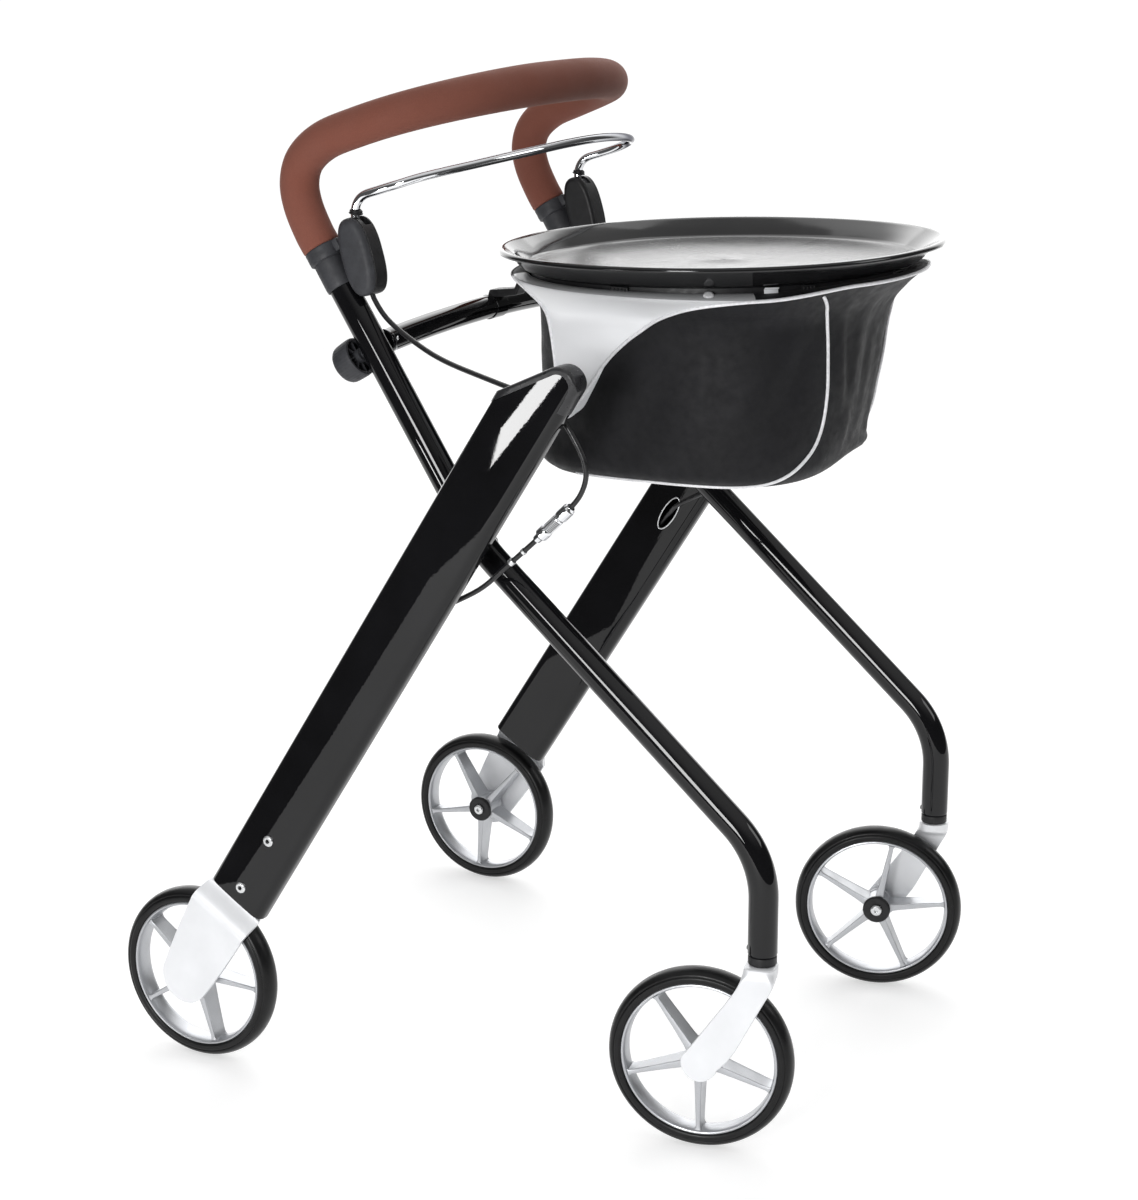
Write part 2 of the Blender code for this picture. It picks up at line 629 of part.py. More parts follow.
def wheel_rim():
    """Silver rim, hub and five thin deep spokes, axle along X, first spoke straight up."""
    nrm = Vector((1, 0, 0))
    c = Vector((0, 0, 0))
    prof = [(RIM_R, 0.0100), (0.0736, 0.0110), (0.0714, 0.0), (0.0736, -0.0110), (RIM_R, -0.0100)]
    ring = lathe(prof[::-1], c, c + nrm, 32)
    hub = lathe([(0.0, 0.0135), (0.0140, 0.0135), (0.0140, -0.0135), (0.0, -0.0135)][::-1], c, c + nrm, 15, closed=False)
    z = Vector((0, 0, 1))
    fwd = nrm.cross(z)
    blade = [(-0.0014, -0.0084), (0.0014, -0.0084), (0.0020, 0.0), (0.0014, 0.0084), (-0.0014, 0.0084), (-0.0020, 0.0)]
    for i in range(5):
        a = math.radians(72 * i)
        d = z * math.cos(a) + fwd * math.sin(a)
        t = nrm.cross(d)
        mm = Matrix((-t, nrm, d)).transposed().to_4x4()
        ring = join(ring, prism([blade], mm, 0.0112, 0.0748))
    ring = join(ring, hub)
    # the bore is opened last, so that no spoke reaches into it
    return cut(ring, rod(c - nrm * 0.02, c + nrm * 0.02, 0.0046, 12))


def wheel_tyre():
    """Solid tyre; its flats, not its corners, lie at the wheel's radius."""
    c = Vector((0, 0, 0))
    nrm = Vector((1, 0, 0))
    hw = TYRE_W / 2
    flat = 1.0 / math.cos(math.pi / TYRE_STEPS)
    r0 = (RIM_R + GAP) * flat
    prof = [(r0, -0.0098)]
    for i in range(7):
        a = math.radians(-90 + 180 * i / 6)
        prof.append(((R_WHEEL - 0.0095 + 0.0095 * math.cos(a)) * flat, hw * math.sin(a)))
    prof += [(r0, 0.0098)]
    return lathe(prof, c, c + nrm, TYRE_STEPS)


def hub_cap():
    """Round cap on the end of the hub that faces the middle of the walker (+X here)."""
    return lathe([(0.0145, 0.0139), (0.0145, 0.0162), (0.0130, 0.0178), (0.0044, 0.0170), (0.0044, 0.0139)][::-1], (0, 0, 0), (1, 0, 0), 20)


def axle(fork_face):
    """Axle screw; its shank ends at the fork plate's inner side."""
    ax = lathe([(0.0, 0.0199), (0.0050, 0.0199), (0.0058, 0.0190), (0.0058, 0.0178), (0.0041, 0.0178), (0.0041, -fork_face), (0.0, -fork_face)],
               (0, 0, 0), (1, 0, 0), 12, closed=False)
    return cut(ax, rod((0.0186, 0, 0), (0.0220, 0, 0), 0.0026, 6))


def placed(name, ob, look, matrix):
    """A copy of a piece drawn round the origin, moved to its place."""
    me = ob.data.copy()
    bm = bmesh.new()
    bm.from_mesh(me)
    bmesh.ops.transform(bm, matrix=matrix, verts=bm.verts)
    bm.to_mesh(me)
    bm.free()
    return done(name, link(name, me), look)


RIM = wheel_rim()
TYRE = wheel_tyre()
CAP = hub_cap()
AXLE_REAR = axle(0.0208)
AXLE_FRONT = axle(0.0180)


def wheel(tag, centre, heading, sgn, phase, ax):
    """One wheel; phase is the first spoke from straight up toward the front, heading the turn about Z."""
    c = Matrix.Translation(centre) @ Matrix.Rotation(heading, 4, "Z")
    turn = c @ Matrix.Rotation(math.radians(phase), 4, "X")
    inward = c @ Matrix.Rotation(0.0 if sgn < 0 else math.pi, 4, "Z")
    placed("rim_" + tag, RIM, SILVER, turn)
    placed("tyre_" + tag, TYRE, RUBBER, c @ Matrix.Rotation(math.pi / TYRE_STEPS, 4, "X"))
    placed("hub_cap_" + tag, CAP, BLACK_SATIN, inward)
    placed("axle_" + tag, ax, STEEL, inward)


PHASE = {"rear_right": -46.0, "rear_left": -31.0, "front_right": 180.0, "front_left": 11.0}
for tag, sgn in (("rear_right", -1), ("rear_left", 1)):
    wheel(tag, (sgn * REAR_X, 0.0, R_WHEEL), 0.0, sgn, PHASE[tag], AXLE_REAR)

# ---------------------------------------------------------------- front casters


def caster(tag, sgn, swivel):
    """Fork with its swivel pin, and wheel; the wheel trails, the plate is on the outside of the walker."""
    a = math.radians(swivel)
    nrm = Vector((math.cos(a), math.sin(a), 0)) * sgn          # out of the walker
    back = Vector((-math.sin(a), math.cos(a), 0))
    stem = Vector((sgn * TUBE_X, STEM_Y, 0))
    z = Vector((0, 0, 1))
    # (back, up) outlines extruded along the outward normal
    fm = Matrix((back, z, nrm)).transposed().to_4x4()
    fm.translation = stem
    if fm.determinant() < 0:
        fm = Matrix((back, z, -nrm)).transposed().to_4x4()
        fm.translation = stem
        flip = -1
    else:
        flip = 1

    def ext(loop, h0, h1):
        lo, hi = sorted((h0 * flip, h1 * flip))
        return prism([loop], fm, lo, hi)

    cen = (TRAIL - 0.0020, R_WHEEL)
    loop = [(-0.0150, 0.1905), (-0.0152, 0.1840), (-0.0135, 0.1740), (-0.0075, 0.1620), (0.0205, 0.1060)]
    for i in range(12):
        t = math.radians(205 + 180 * i / 11)
        loop.append((cen[0] - 0.0005 + 0.0178 * math.cos(t), cen[1] + 0.0178 * math.sin(t)))
    loop += [(0.0650, 0.1060), (0.0290, 0.1600), (0.0170, 0.1780), (0.0140, 0.1905)]
    arm = ext(loop, 0.0158, 0.0200)
    crown = ext([(-0.0148, 0.1904), (-0.0148, 0.1745), (0.0125, 0.1765), (0.0138, 0.1904)], 0.0, 0.0192)
    collar = rod(stem + z * 0.1745, stem + z * 0.1904, 0.0150, 28)
    pin = lathe([(0.0, 0.0), (0.0070, 0.0), (0.0070, 0.0600), (0.0060, 0.0615), (0.0, 0.0615)][::-1],
                stem + z * 0.1800, stem + z * 1.0, 16, closed=False)
    fk = join(collar, crown, arm, pin)
    fk = cut(fk, rod(stem + back * TRAIL + z * R_WHEEL + nrm * 0.01, stem + back * TRAIL + z * R_WHEEL + nrm * 0.0185, 0.0044, 14))
    done("caster_fork_" + tag, fk, SILVER)
    c = stem + back * TRAIL + z * R_WHEEL
    wheel("front_" + tag, c, a, sgn, PHASE["front_" + tag], AXLE_FRONT)


caster("right", -1, SWIVEL_RIGHT)
caster("left", 1, SWIVEL_LEFT)

# ---------------------------------------------------------------- brake cables
F_IN = -LEG_X + LEG_T / 2


def through(pts, steps):
    pts = [Vector(p) for p in pts]
    full = [pts[0] * 2 - pts[1]] + pts + [pts[-1] * 2 - pts[-2]]
    out = []
    for i in range(1, len(full) - 2):
        for j in range(steps):
            t = j / steps
            a, b, c, d = full[i - 1], full[i], full[i + 1], full[i + 2]
            out.append(0.5 * ((2 * b) + (c - a) * t + (2 * a - 5 * b + 4 * c - d) * t * t + (3 * b - a - 3 * c + d) * t ** 3))
    out.append(pts[-1])
    return out


foot = POD_C - pod_u * 0.0290
entry_in = leg(0.345, 0.004)
CAB = [(-0.2220, *foot), (-0.2225, *(POD_C - pod_u * 0.0420)), (-0.2270, -0.2010, 0.7640), (-0.2350, -0.2370, 0.7455), (-0.2440, -0.2740, 0.7330),
       (-0.2570, -0.3330, 0.7210), (-0.2660, -0.3780, 0.7120), (-0.2685, -0.4070, 0.6960), (-0.2680, -0.4230, 0.6750), (-0.2665, -0.4320, 0.6530),
       (-0.2650, -0.4290, 0.6330), (-0.2640, -0.4150, 0.6130), (-0.2630, -0.3790, 0.5790), (-0.2630, -0.3470, 0.5500), (-0.2640, -0.3170, 0.5240),
       (-0.2680, *(leg(0.385, 0.012))), (-0.2755, *(leg(0.366, 0.006))), (-0.2810, *(leg(0.345, 0.002))), (-0.2810, *leg(0.30)), (-0.2810, *leg(0.12)), (-0.2810, *leg(0.0235))]
cab = sweep(through(CAB, 2), CABLE_R, 2)
cab = done("brake_cable_right", cab, BLACK_SATIN)
mirrored("brake_cable_left", cab)

a0, a1 = Vector(CAB[11]), Vector(CAB[12])
adj = lathe([(0.0060, 0.0), (0.0066, 0.0015), (0.0066, 0.0130), (0.0054, 0.0145), (0.0054, 0.0290), (0.0062, 0.0305), (0.0062, 0.0400), (0.0044, 0.0420),
             (0.0044, 0.0485), (CABLE_R + 0.0009, 0.0485), (CABLE_R + 0.0009, 0.0)][::-1], a0, a1, 12)
adj = done("cable_adjuster_right", adj, SILVER)
mirrored("cable_adjuster_left", adj)

# ---------------------------------------------------------------- tray, holder ring, bag
N = 30


def rings_mesh(rings, y, close_bottom=True, tilt=0.0):
    """A skin of stacked ovals: each ring is (half width, half depth, z, roundness)."""
    bm = bmesh.new()
    rows = []
    for ax, ay, zz, e in rings:
        if ax < 1e-6:
            rows.append([bm.verts.new((0, y, zz))])
        else:
            rows.append([bm.verts.new((px, y + py, zz + tilt * py)) for px, py in oval(ax, ay, N, e)])
    for a, b in zip(rows, rows[1:]):
        if len(a) == 1:
            for i in range(N):
                bm.faces.new((a[0], b[i], b[(i + 1) % N]))
        else:
            for i in range(N):
                bm.faces.new((a[i], a[(i + 1) % N], b[(i + 1) % N], b[i]))
    bmesh.ops.recalc_face_normals(bm, faces=bm.faces)
    me = bpy.data.meshes.new("rings")
    bm.to_mesh(me)
    bm.free()
    return link("rings", me)


def shell_of(ob, thick):
    s = ob.modifiers.new("wall", "SOLIDIFY")
    s.thickness = thick
    s.offset = -1.0
    s.use_even_offset = True
    s.use_rim = True
    return bake(ob)


TILT = -0.022
FL = TRAY_Z - 0.0185
tray = rings_mesh([(0.0, 0.0, FL, 1.0), (0.10, 0.093, FL, 0.95), (0.1970, 0.1833, FL, 0.93), (0.2010, 0.1873, FL + 0.0030, 0.93), (0.2176, 0.2037, TRAY_Z - 0.0010, 0.93),
                   (0.2207, 0.2067, TRAY_Z, 0.93), (0.2235, 0.2095, TRAY_Z - 0.0008, 0.93), (0.2243, 0.2104, TRAY_Z - 0.0040, 0.93)], TRAY_Y, tilt=TILT)
done("tray", shell_of(tray, 0.0024), BLACK_SATIN)

ring_top = FL - 0.0024 - GAP
ring = prism([oval(0.1925, 0.1790, N), oval(0.1850, 0.1715, N)], Matrix.Translation((0, TRAY_Y, 0)), ring_top - 0.0110, ring_top)
for v in ring.data.vertices:
    v.co.z += TILT * (v.co.y - TRAY_Y)
ring = done("holder_ring", ring, BLACK_MATT)

# bracket from the crossbar up and over the bag's edge to the holder ring
ty = TRAY_Y + 0.1790
rz = ring_top + TILT * 0.1790
bt = rz - 0.0002
bl = [(ty + GAP + 0.0002, bt - 0.0028), (ty + GAP + 0.0002, bt), (-0.2000, bt), (-0.1860, bt - 0.0120), (-0.1760, CROSS[1] + CROSS_R + 0.003), (-0.1760, CROSS[1] + CROSS_R + GAP),
      (-0.1960, CROSS[1] + CROSS_R + GAP), (-0.1975, CROSS[1] + CROSS_R + 0.010), (-0.2060, bt - 0.0028)]
br = prism([bl], X_UP, -0.0250, 0.0250)
br = done("ring_bracket", br, BLACK_MATT, smooth=False)

# bag: an open tub of fabric with a flared edge
BAG_RINGS = [(0.2080, 0.1960, 0.8000, 0.93), (0.2055, 0.1925, 0.7965, 0.92), (0.1900, 0.1770, 0.7850, 0.86), (0.1765, 0.1640, 0.7720, 0.80), (0.1720, 0.1590, 0.7500, 0.74),
             (0.1690, 0.1555, 0.7000, 0.70), (0.1630, 0.1500, 0.6500, 0.70), (0.1560, 0.1440, 0.6270, 0.70), (0.1420, 0.1320, 0.6170, 0.72), (0.0, 0.0, 0.6160, 1.0)]
bag = rings_mesh(BAG_RINGS[::-1], TRAY_Y + 0.002)
bag = shell_of(bag, 0.0026)
done("bag", bag, FABRIC)

# ---------------------------------------------------------------- to real size
bpy.context.view_layer.update()
T = Matrix.Scale(K, 4) @ Matrix.Translation((0, Y_SHIFT, 0))
PLACE = {}


def origin_for(name):
    """Joint axes pass through the origin of each moving piece."""
    side = -1 if "right" in name else 1
    if name.startswith(("rim_rear", "tyre_rear", "axle_rear", "hub_cap_rear")):
        return (side * REAR_X, 0.0, R_WHEEL)
    if name.startswith(("rim_front", "tyre_front", "axle_front", "hub_cap_front")):
        a = math.radians(SWIVEL_RIGHT if side < 0 else SWIVEL_LEFT)
        return (side * TUBE_X - TRAIL * math.sin(a), STEM_Y + TRAIL * math.cos(a), R_WHEEL)
    if name.startswith("caster_fork"):
        return (side * TUBE_X, STEM_Y, STEM_Z)
    if name.startswith(("rear_leg", "leg_cap", "rear_fork", "fork_screw", "pivot_")):
        return (side * LEG_X, *mid)
    if name.startswith("brake_shoe"):
        return (side * 0.2848, *leg(0.0115))
    if name.startswith(("brake_bar", "bar_collar")):
        return (0.0, *PIN)
    if name.startswith("clamp_knob"):
        return (side * TUBE_X, *k0)
    if name.startswith(("tray", "bag", "holder")):
        return (0.0, TRAY_Y, 0.80)
    return (0.0, 0.0, 0.0)


for ob in list(COL.objects):
    o = T @ Vector(origin_for(ob.name))
    ob.data.transform(Matrix.Translation(-o) @ T)
    ob.location = o
    weld(ob.data, 1e-7)
    ob.data.update()

for ob in list(WORK.objects):
    bpy.data.objects.remove(ob, do_unlink=True)
bpy.context.view_layer.update()
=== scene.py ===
import json
import math

import bmesh
import bpy
from mathutils import Matrix, Vector, noise

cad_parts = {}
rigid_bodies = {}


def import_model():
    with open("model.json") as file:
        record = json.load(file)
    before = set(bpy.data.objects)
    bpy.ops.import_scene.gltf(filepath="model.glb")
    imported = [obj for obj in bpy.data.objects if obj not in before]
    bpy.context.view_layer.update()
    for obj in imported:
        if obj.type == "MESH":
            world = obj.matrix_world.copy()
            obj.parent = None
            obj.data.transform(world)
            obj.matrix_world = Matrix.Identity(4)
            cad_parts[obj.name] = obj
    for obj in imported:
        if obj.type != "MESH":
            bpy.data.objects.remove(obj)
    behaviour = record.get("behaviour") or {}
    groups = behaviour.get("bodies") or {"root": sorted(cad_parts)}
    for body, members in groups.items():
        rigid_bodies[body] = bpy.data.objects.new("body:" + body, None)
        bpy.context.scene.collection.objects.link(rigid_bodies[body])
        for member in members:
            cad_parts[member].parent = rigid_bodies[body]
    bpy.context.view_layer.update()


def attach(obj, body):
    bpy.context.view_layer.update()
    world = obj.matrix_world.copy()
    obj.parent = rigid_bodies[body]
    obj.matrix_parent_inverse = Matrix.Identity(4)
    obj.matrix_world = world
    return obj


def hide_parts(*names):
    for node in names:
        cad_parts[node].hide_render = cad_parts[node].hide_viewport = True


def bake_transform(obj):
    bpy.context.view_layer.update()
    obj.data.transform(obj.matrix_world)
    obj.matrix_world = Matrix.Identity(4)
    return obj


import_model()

# The pieces are drawn in the part's own drawing units and then brought to real size.
K = 0.152 / 0.180
Y_SHIFT = 0.28022
REAL = Matrix.Scale(K, 4) @ Matrix.Translation((0, Y_SHIFT, 0))
PI = math.pi

# ------------------------------------------------------------------ dimensions
R_WHEEL = 0.0900
REAR_X = 0.2900
TUBE_X = 0.2240
TUBE_R = 0.0140
INNER_R = 0.0112
STEM_Y, STEM_Z = -0.5960, 0.1930
BEND_LOW = (-0.5960, 0.2947)
BEND_MID = (-0.2980, 0.5555)
TUBE_TOP = (-0.1470, 0.7945)
TRAIL = 0.0574
SWIVEL = {"right": 11.5, "left": 16.3}
PHASE = {"rear_right": -51.0, "rear_left": -31.0, "front_right": 180.0, "front_left": 11.0}
LEG_X, LEG_T, LEG_W, LEG_WALL = 0.2872, 0.0250, 0.0680, 0.0022
LEG_BOTTOM = (-0.0502, 0.1790)
LEG_ANGLE = 57.44
CROSS = (-0.1830, 0.7420)
CROSS_R = 0.0118
GRIP_R = 0.0188
BAR_R = 0.0042
CABLE_R = 0.0025
TRAY_Y, TRAY_Z = -0.4411, 0.8293
TILT = -0.022

top = Vector(TUBE_TOP)
mid = Vector(BEND_MID)
low = Vector(BEND_LOW)
up = (top - mid).normalized()
front_n = Vector((-up.y, up.x))


def on_tube(l, off=0.0):
    return top + up * l + front_n * off


la = math.radians(LEG_ANGLE)
leg_s = Vector((-math.cos(la), math.sin(la)))
leg_w = Vector((-math.sin(la), -math.cos(la)))
lb = Vector(LEG_BOTTOM)


def leg(s, w=0.0):
    return lb + leg_s * s + leg_w * w


# ------------------------------------------------------------------ camera
YAW, PITCH, ROLL = 0.49561, 0.25656, -0.00108
look = Vector((math.cos(YAW) * math.cos(PITCH), math.sin(YAW) * math.cos(PITCH), -math.sin(PITCH)))
side = Vector((math.sin(YAW), -math.cos(YAW), 0.0))
over = side.cross(look)
r_ = side * math.cos(ROLL) + over * math.sin(ROLL)
u_ = over * math.cos(ROLL) - side * math.sin(ROLL)
cd = bpy.data.cameras.new("camera")
cam = bpy.data.objects.new("camera", cd)
bpy.context.scene.collection.objects.link(cam)
cam.matrix_world = Matrix(((r_.x, u_.x, -look.x, -1.94158), (r_.y, u_.y, -look.y, -1.04175), (r_.z, u_.z, -look.z, 0.95722), (0, 0, 0, 1)))
cd.sensor_width = 36.0
cd.lens = 78.27
cd.clip_start, cd.clip_end = 0.05, 200.0
bpy.context.scene.camera = cam


# ------------------------------------------------------------------ mesh tools
def raw(name, verts, faces):
    me = bpy.data.meshes.new(name)
    me.from_pydata([tuple(v) for v in verts], [], [tuple(f) for f in faces])
    ob = bpy.data.objects.new(name, me)
    bpy.context.scene.collection.objects.link(ob)
    return ob


def tidy(ob, dist=1e-7, flip=True):
    bm = bmesh.new()
    bm.from_mesh(ob.data)
    if dist:
        bmesh.ops.remove_doubles(bm, verts=bm.verts, dist=dist)
    bmesh.ops.recalc_face_normals(bm, faces=bm.faces)
    if flip and bm.calc_volume(signed=True) < 0:
        bmesh.ops.reverse_faces(bm, faces=bm.faces)
    bm.to_mesh(ob.data)
    bm.free()
    return ob


def applied(ob):
    """The object with its modifiers made part of its mesh."""
    bpy.context.view_layer.update()
    dg = bpy.context.evaluated_depsgraph_get()
    me = bpy.data.meshes.new_from_object(ob.evaluated_get(dg))
    me.transform(ob.matrix_world)
    old = ob.data
    ob.modifiers.clear()
    ob.data = me
    ob.matrix_world = Matrix.Identity(4)
    bpy.data.meshes.remove(old)
    return ob


def boolean(a, b, how):
    m = a.modifiers.new("bool", "BOOLEAN")
    m.operation = how
    m.solver = "EXACT"
    m.object = b
    applied(a)
    bpy.data.objects.remove(b, do_unlink=True)
    return a


def cut(a, *tools):
    for t in tools:
        a = boolean(a, t, "DIFFERENCE")
    return a


def merge(name, *obs):
    """Several closed bodies in one mesh; each keeps its material indices."""
    verts, faces, mi = [], [], []
    for o in obs:
        o.data.transform(o.matrix_world)
        n = len(verts)
        verts += [v.co.copy() for v in o.data.vertices]
        for p in o.data.polygons:
            faces.append([n + i for i in p.vertices])
            mi.append(p.material_index)
        bpy.data.objects.remove(o, do_unlink=True)
    ob = raw(name, verts, faces)
    for p, i in zip(ob.data.polygons, mi):
        p.material_index = i
    return ob


def shade(ob, index):
    for p in ob.data.polygons:
        p.material_index = index
    return ob


def copied(ob, name, matrix=None, flip=False):
    me = ob.data.copy()
    me.name = name
    if matrix is not None:
        me.transform(matrix)
    if flip:
        me.flip_normals()
    o = bpy.data.objects.new(name, me)
    bpy.context.scene.collection.objects.link(o)
    return o


MIRROR = Matrix.Diagonal((-1, 1, 1, 1))


def spline(pts, steps, ends=True):
    """Smooth points through a list of points."""
    pts = [Vector(p) for p in pts]
    full = [pts[0] * 2 - pts[1]] + pts + [pts[-1] * 2 - pts[-2]]
    out = []
    for i in range(1, len(full) - 2):
        a, b, c, d = full[i - 1], full[i], full[i + 1], full[i + 2]
        for j in range(steps):
            t = j / steps
            out.append(0.5 * ((2 * b) + (c - a) * t + (2 * a - 5 * b + 4 * c - d) * t * t + (3 * b - a - 3 * c + d) * t ** 3))
    out.append(pts[-1])
    return out


def half_bar(pts, steps):
    """Smooth points along half of a bar that is symmetric about the middle."""
    pts = [Vector(p) for p in pts]
    full = [pts[0] * 2 - pts[1]] + pts + [Vector((-pts[-2].x, pts[-2].y, pts[-2].z))]
    out = []
    for i in range(1, len(full) - 2):
        a, b, c, d = full[i - 1], full[i], full[i + 1], full[i + 2]
        for j in range(steps):
            t = j / steps
            out.append(0.5 * ((2 * b) + (c - a) * t + (2 * a - 5 * b + 4 * c - d) * t * t + (3 * b - a - 3 * c + d) * t ** 3))
    out.append(pts[-1])
    return out


def both(half):
    return half + [Vector((-p.x, p.y, p.z)) for p in reversed(half[:-1])]


def sweep(name, pts, r, n=48, radii=None, closed=False):
    """A round bar along points, with flat ends."""
    P = [Vector(p) for p in pts]
    m = len(P)
    T = []
    for i in range(m):
        a = P[(i - 1) % m] if closed else P[max(i - 1, 0)]
        b = P[(i + 1) % m] if closed else P[min(i + 1, m - 1)]
        T.append((b - a).normalized())
    u = T[0].orthogonal().normalized()
    verts, faces = [], []
    for i, (p, t) in enumerate(zip(P, T)):
        u = (u - t * u.dot(t)).normalized()
        v = t.cross(u)
        rr = r * (radii[i] if radii else 1.0)
        for k in range(n):
            a = 2 * PI * k / n
            verts.append(p + u * (rr * math.cos(a)) + v * (rr * math.sin(a)))
    for i in range(m if closed else m - 1):
        j = (i + 1) % m
        for k in range(n):
            l = (k + 1) % n
            faces.append((i * n + k, i * n + l, j * n + l, j * n + k))
    if not closed:
        faces.append(tuple(range(n))[::-1])
        faces.append(tuple((m - 1) * n + k for k in range(n)))
    return tidy(raw(name, verts, faces), 0)


def rounded_ends(pts, r, lip):
    """Radius factors that round the two ends of a bar over a length of lip."""
    d = [0.0]
    for a, b in zip(pts, pts[1:]):
        d.append(d[-1] + (Vector(b) - Vector(a)).length)
    out = []
    for x in d:
        e = min(x, d[-1] - x)
        if e >= lip:
            out.append(1.0)
        else:
            out.append((r - lip + math.sqrt(max(0.0, lip * lip - (lip - e) ** 2))) / r)
    return out


def with_ends(pts, lip, n=6):
    """Extra points close to both ends, so that they can be rounded."""
    pts = [Vector(p) for p in pts]
    a = [pts[0] + (pts[1] - pts[0]).normalized() * (lip * (1 - math.cos(PI / 2 * i / n))) for i in range(n + 1)]
    b = [pts[-1] + (pts[-2] - pts[-1]).normalized() * (lip * (1 - math.cos(PI / 2 * i / n))) for i in range(n + 1)]
    return a + pts[1:-1] + b[::-1]


def frame_from(p0, p1):
    z = (Vector(p1) - Vector(p0)).normalized()
    x = Vector((1, 0, 0)) if abs(z.x) < 0.9 else Vector((0, 1, 0))
    y = z.cross(x).normalized()
    x = y.cross(z).normalized()
    m = Matrix((x, y, z)).transposed().to_4x4()
    m.translation = Vector(p0)
    return m


def fillet(pts, r, seg=4, closed=False):
    """A 2-D line with its corners rounded; r is one radius or one for each point."""
    n = len(pts)
    out = []
    for i, p in enumerate(pts):
        rr = r[i] if isinstance(r, (list, tuple)) else r
        p = Vector(p)
        if rr <= 0 or (not closed and i in (0, n - 1)):
            out.append(p)
            continue
        a = (Vector(pts[(i - 1) % n]) - p)
        b = (Vector(pts[(i + 1) % n]) - p)
        ang = a.angle(b)
        if ang > PI - 0.05:
            out.append(p)
            continue
        t = min(rr / math.tan(ang / 2), a.length * 0.49, b.length * 0.49)
        q = t * math.tan(ang / 2)
        c = p + (a.normalized() + b.normalized()).normalized() * (q / math.sin(ang / 2))
        s = p + a.normalized() * t - c
        e = p + b.normalized() * t - c
        w = s.angle_signed(e)
        for k in range(seg + 1):
            f = -w * k / seg
            out.append(c + Vector((s.x * math.cos(f) - s.y * math.sin(f), s.x * math.sin(f) + s.y * math.cos(f))))
    return out


def turned(name, profile, p0, p1, n=64, closed=False, mod=None):
    """A profile of (radius, height) turned about the line p0-p1; mod changes the radius with the angle."""
    M = frame_from(p0, p1)
    verts, faces = [], []
    rows = []
    for r, h in profile:
        if r < 1e-9 and not closed:
            rows.append([len(verts)])
            verts.append(M @ Vector((0, 0, h)))
        else:
            row = []
            for k in range(n):
                a = 2 * PI * k / n
                q = r + (mod(a, r, h) if mod else 0.0)
                row.append(len(verts))
                verts.append(M @ Vector((q * math.cos(a), q * math.sin(a), h)))
            rows.append(row)
    seq = list(zip(rows, rows[1:])) + ([(rows[-1], rows[0])] if closed else [])
    for a, b in seq:
        if len(a) == 1 and len(b) == 1:
            continue
        for k in range(n):
            l = (k + 1) % n
            if len(a) == 1:
                faces.append((a[0], b[k], b[l]))
            elif len(b) == 1:
                faces.append((a[k], a[l], b[0]))
            else:
                faces.append((a[k], a[l], b[l], b[k]))
    return tidy(raw(name, verts, faces), 0)


def rod(name, p0, p1, r, n=32):
    h = (Vector(p1) - Vector(p0)).length
    return turned(name, [(0, 0), (r, 0), (r, h), (0, h)], p0, p1, n)


def loft(name, loops, cap=True):
    n = len(loops[0])
    verts = [p for l in loops for p in l]
    faces = []
    for i in range(len(loops) - 1):
        for k in range(n):
            l = (k + 1) % n
            faces.append((i * n + k, i * n + l, (i + 1) * n + l, (i + 1) * n + k))
    if cap:
        faces.append(tuple(range(n))[::-1])
        faces.append(tuple((len(loops) - 1) * n + k for k in range(n)))
    return tidy(raw(name, verts, faces), 0)


def slab(name, outline, matrix, h0, h1):
    """A flat outline extruded along the matrix's Z."""
    return loft(name, [[matrix @ Vector((p[0], p[1], h)) for p in outline] for h in (h0, h1)])


def bevelled(ob, width, seg=3, angle=40):
    b = ob.modifiers.new("bevel", "BEVEL")
    b.width = width
    b.segments = seg
    b.limit_method = "ANGLE"
    b.angle_limit = math.radians(angle)
    b.use_clamp_overlap = True
    return applied(ob)


def block(name, c, s, m=None, r=0.001, seg=2):
    bm = bmesh.new()
    bmesh.ops.create_cube(bm, size=1.0, matrix=Matrix.Translation(Vector(c)) @ Matrix.Diagonal((*s, 1)))
    me = bpy.data.meshes.new(name)
    bm.to_mesh(me)
    bm.free()
    ob = bpy.data.objects.new(name, me)
    bpy.context.scene.collection.objects.link(ob)
    if r:
        bevelled(ob, r, seg, 40)
    if m is not None:
        ob.data.transform(m)
    return ob


def rrect(w, h, r, n=6):
    out = []
    for cx, cy, a0 in ((w / 2 - r, h / 2 - r, 0), (-w / 2 + r, h / 2 - r, 90), (-w / 2 + r, -h / 2 + r, 180), (w / 2 - r, -h / 2 + r, 270)):
        for i in range(n + 1):
            a = math.radians(a0 + 90 * i / n)
            out.append((cx + r * math.cos(a), cy + r * math.sin(a)))
    return out


def arc2(corner, a, b, radius, n):
    c = Vector(corner)
    u = (Vector(a) - c).normalized()
    v = (Vector(b) - c).normalized()
    ang = u.angle(v)
    t = radius / math.tan(ang / 2)
    centre = c + (u + v).normalized() * (radius / math.sin(ang / 2))
    p = c + u * t - centre
    q = c + v * t - centre
    turn = p.angle_signed(q)
    out = []
    for i in range(n + 1):
        f = turn * i / n
        out.append(centre + Vector((p.x * math.cos(f) + p.y * math.sin(f), -p.x * math.sin(f) + p.y * math.cos(f))))
    return out


def lerp(a, b, t):
    return a + (b - a) * t


def ease(t):
    t = max(0.0, min(1.0, t))
    return t * t * (3 - 2 * t)


X_UP = Matrix(((0, 0, 1, 0), (1, 0, 0, 0), (0, 1, 0, 0), (0, 0, 0, 1)))


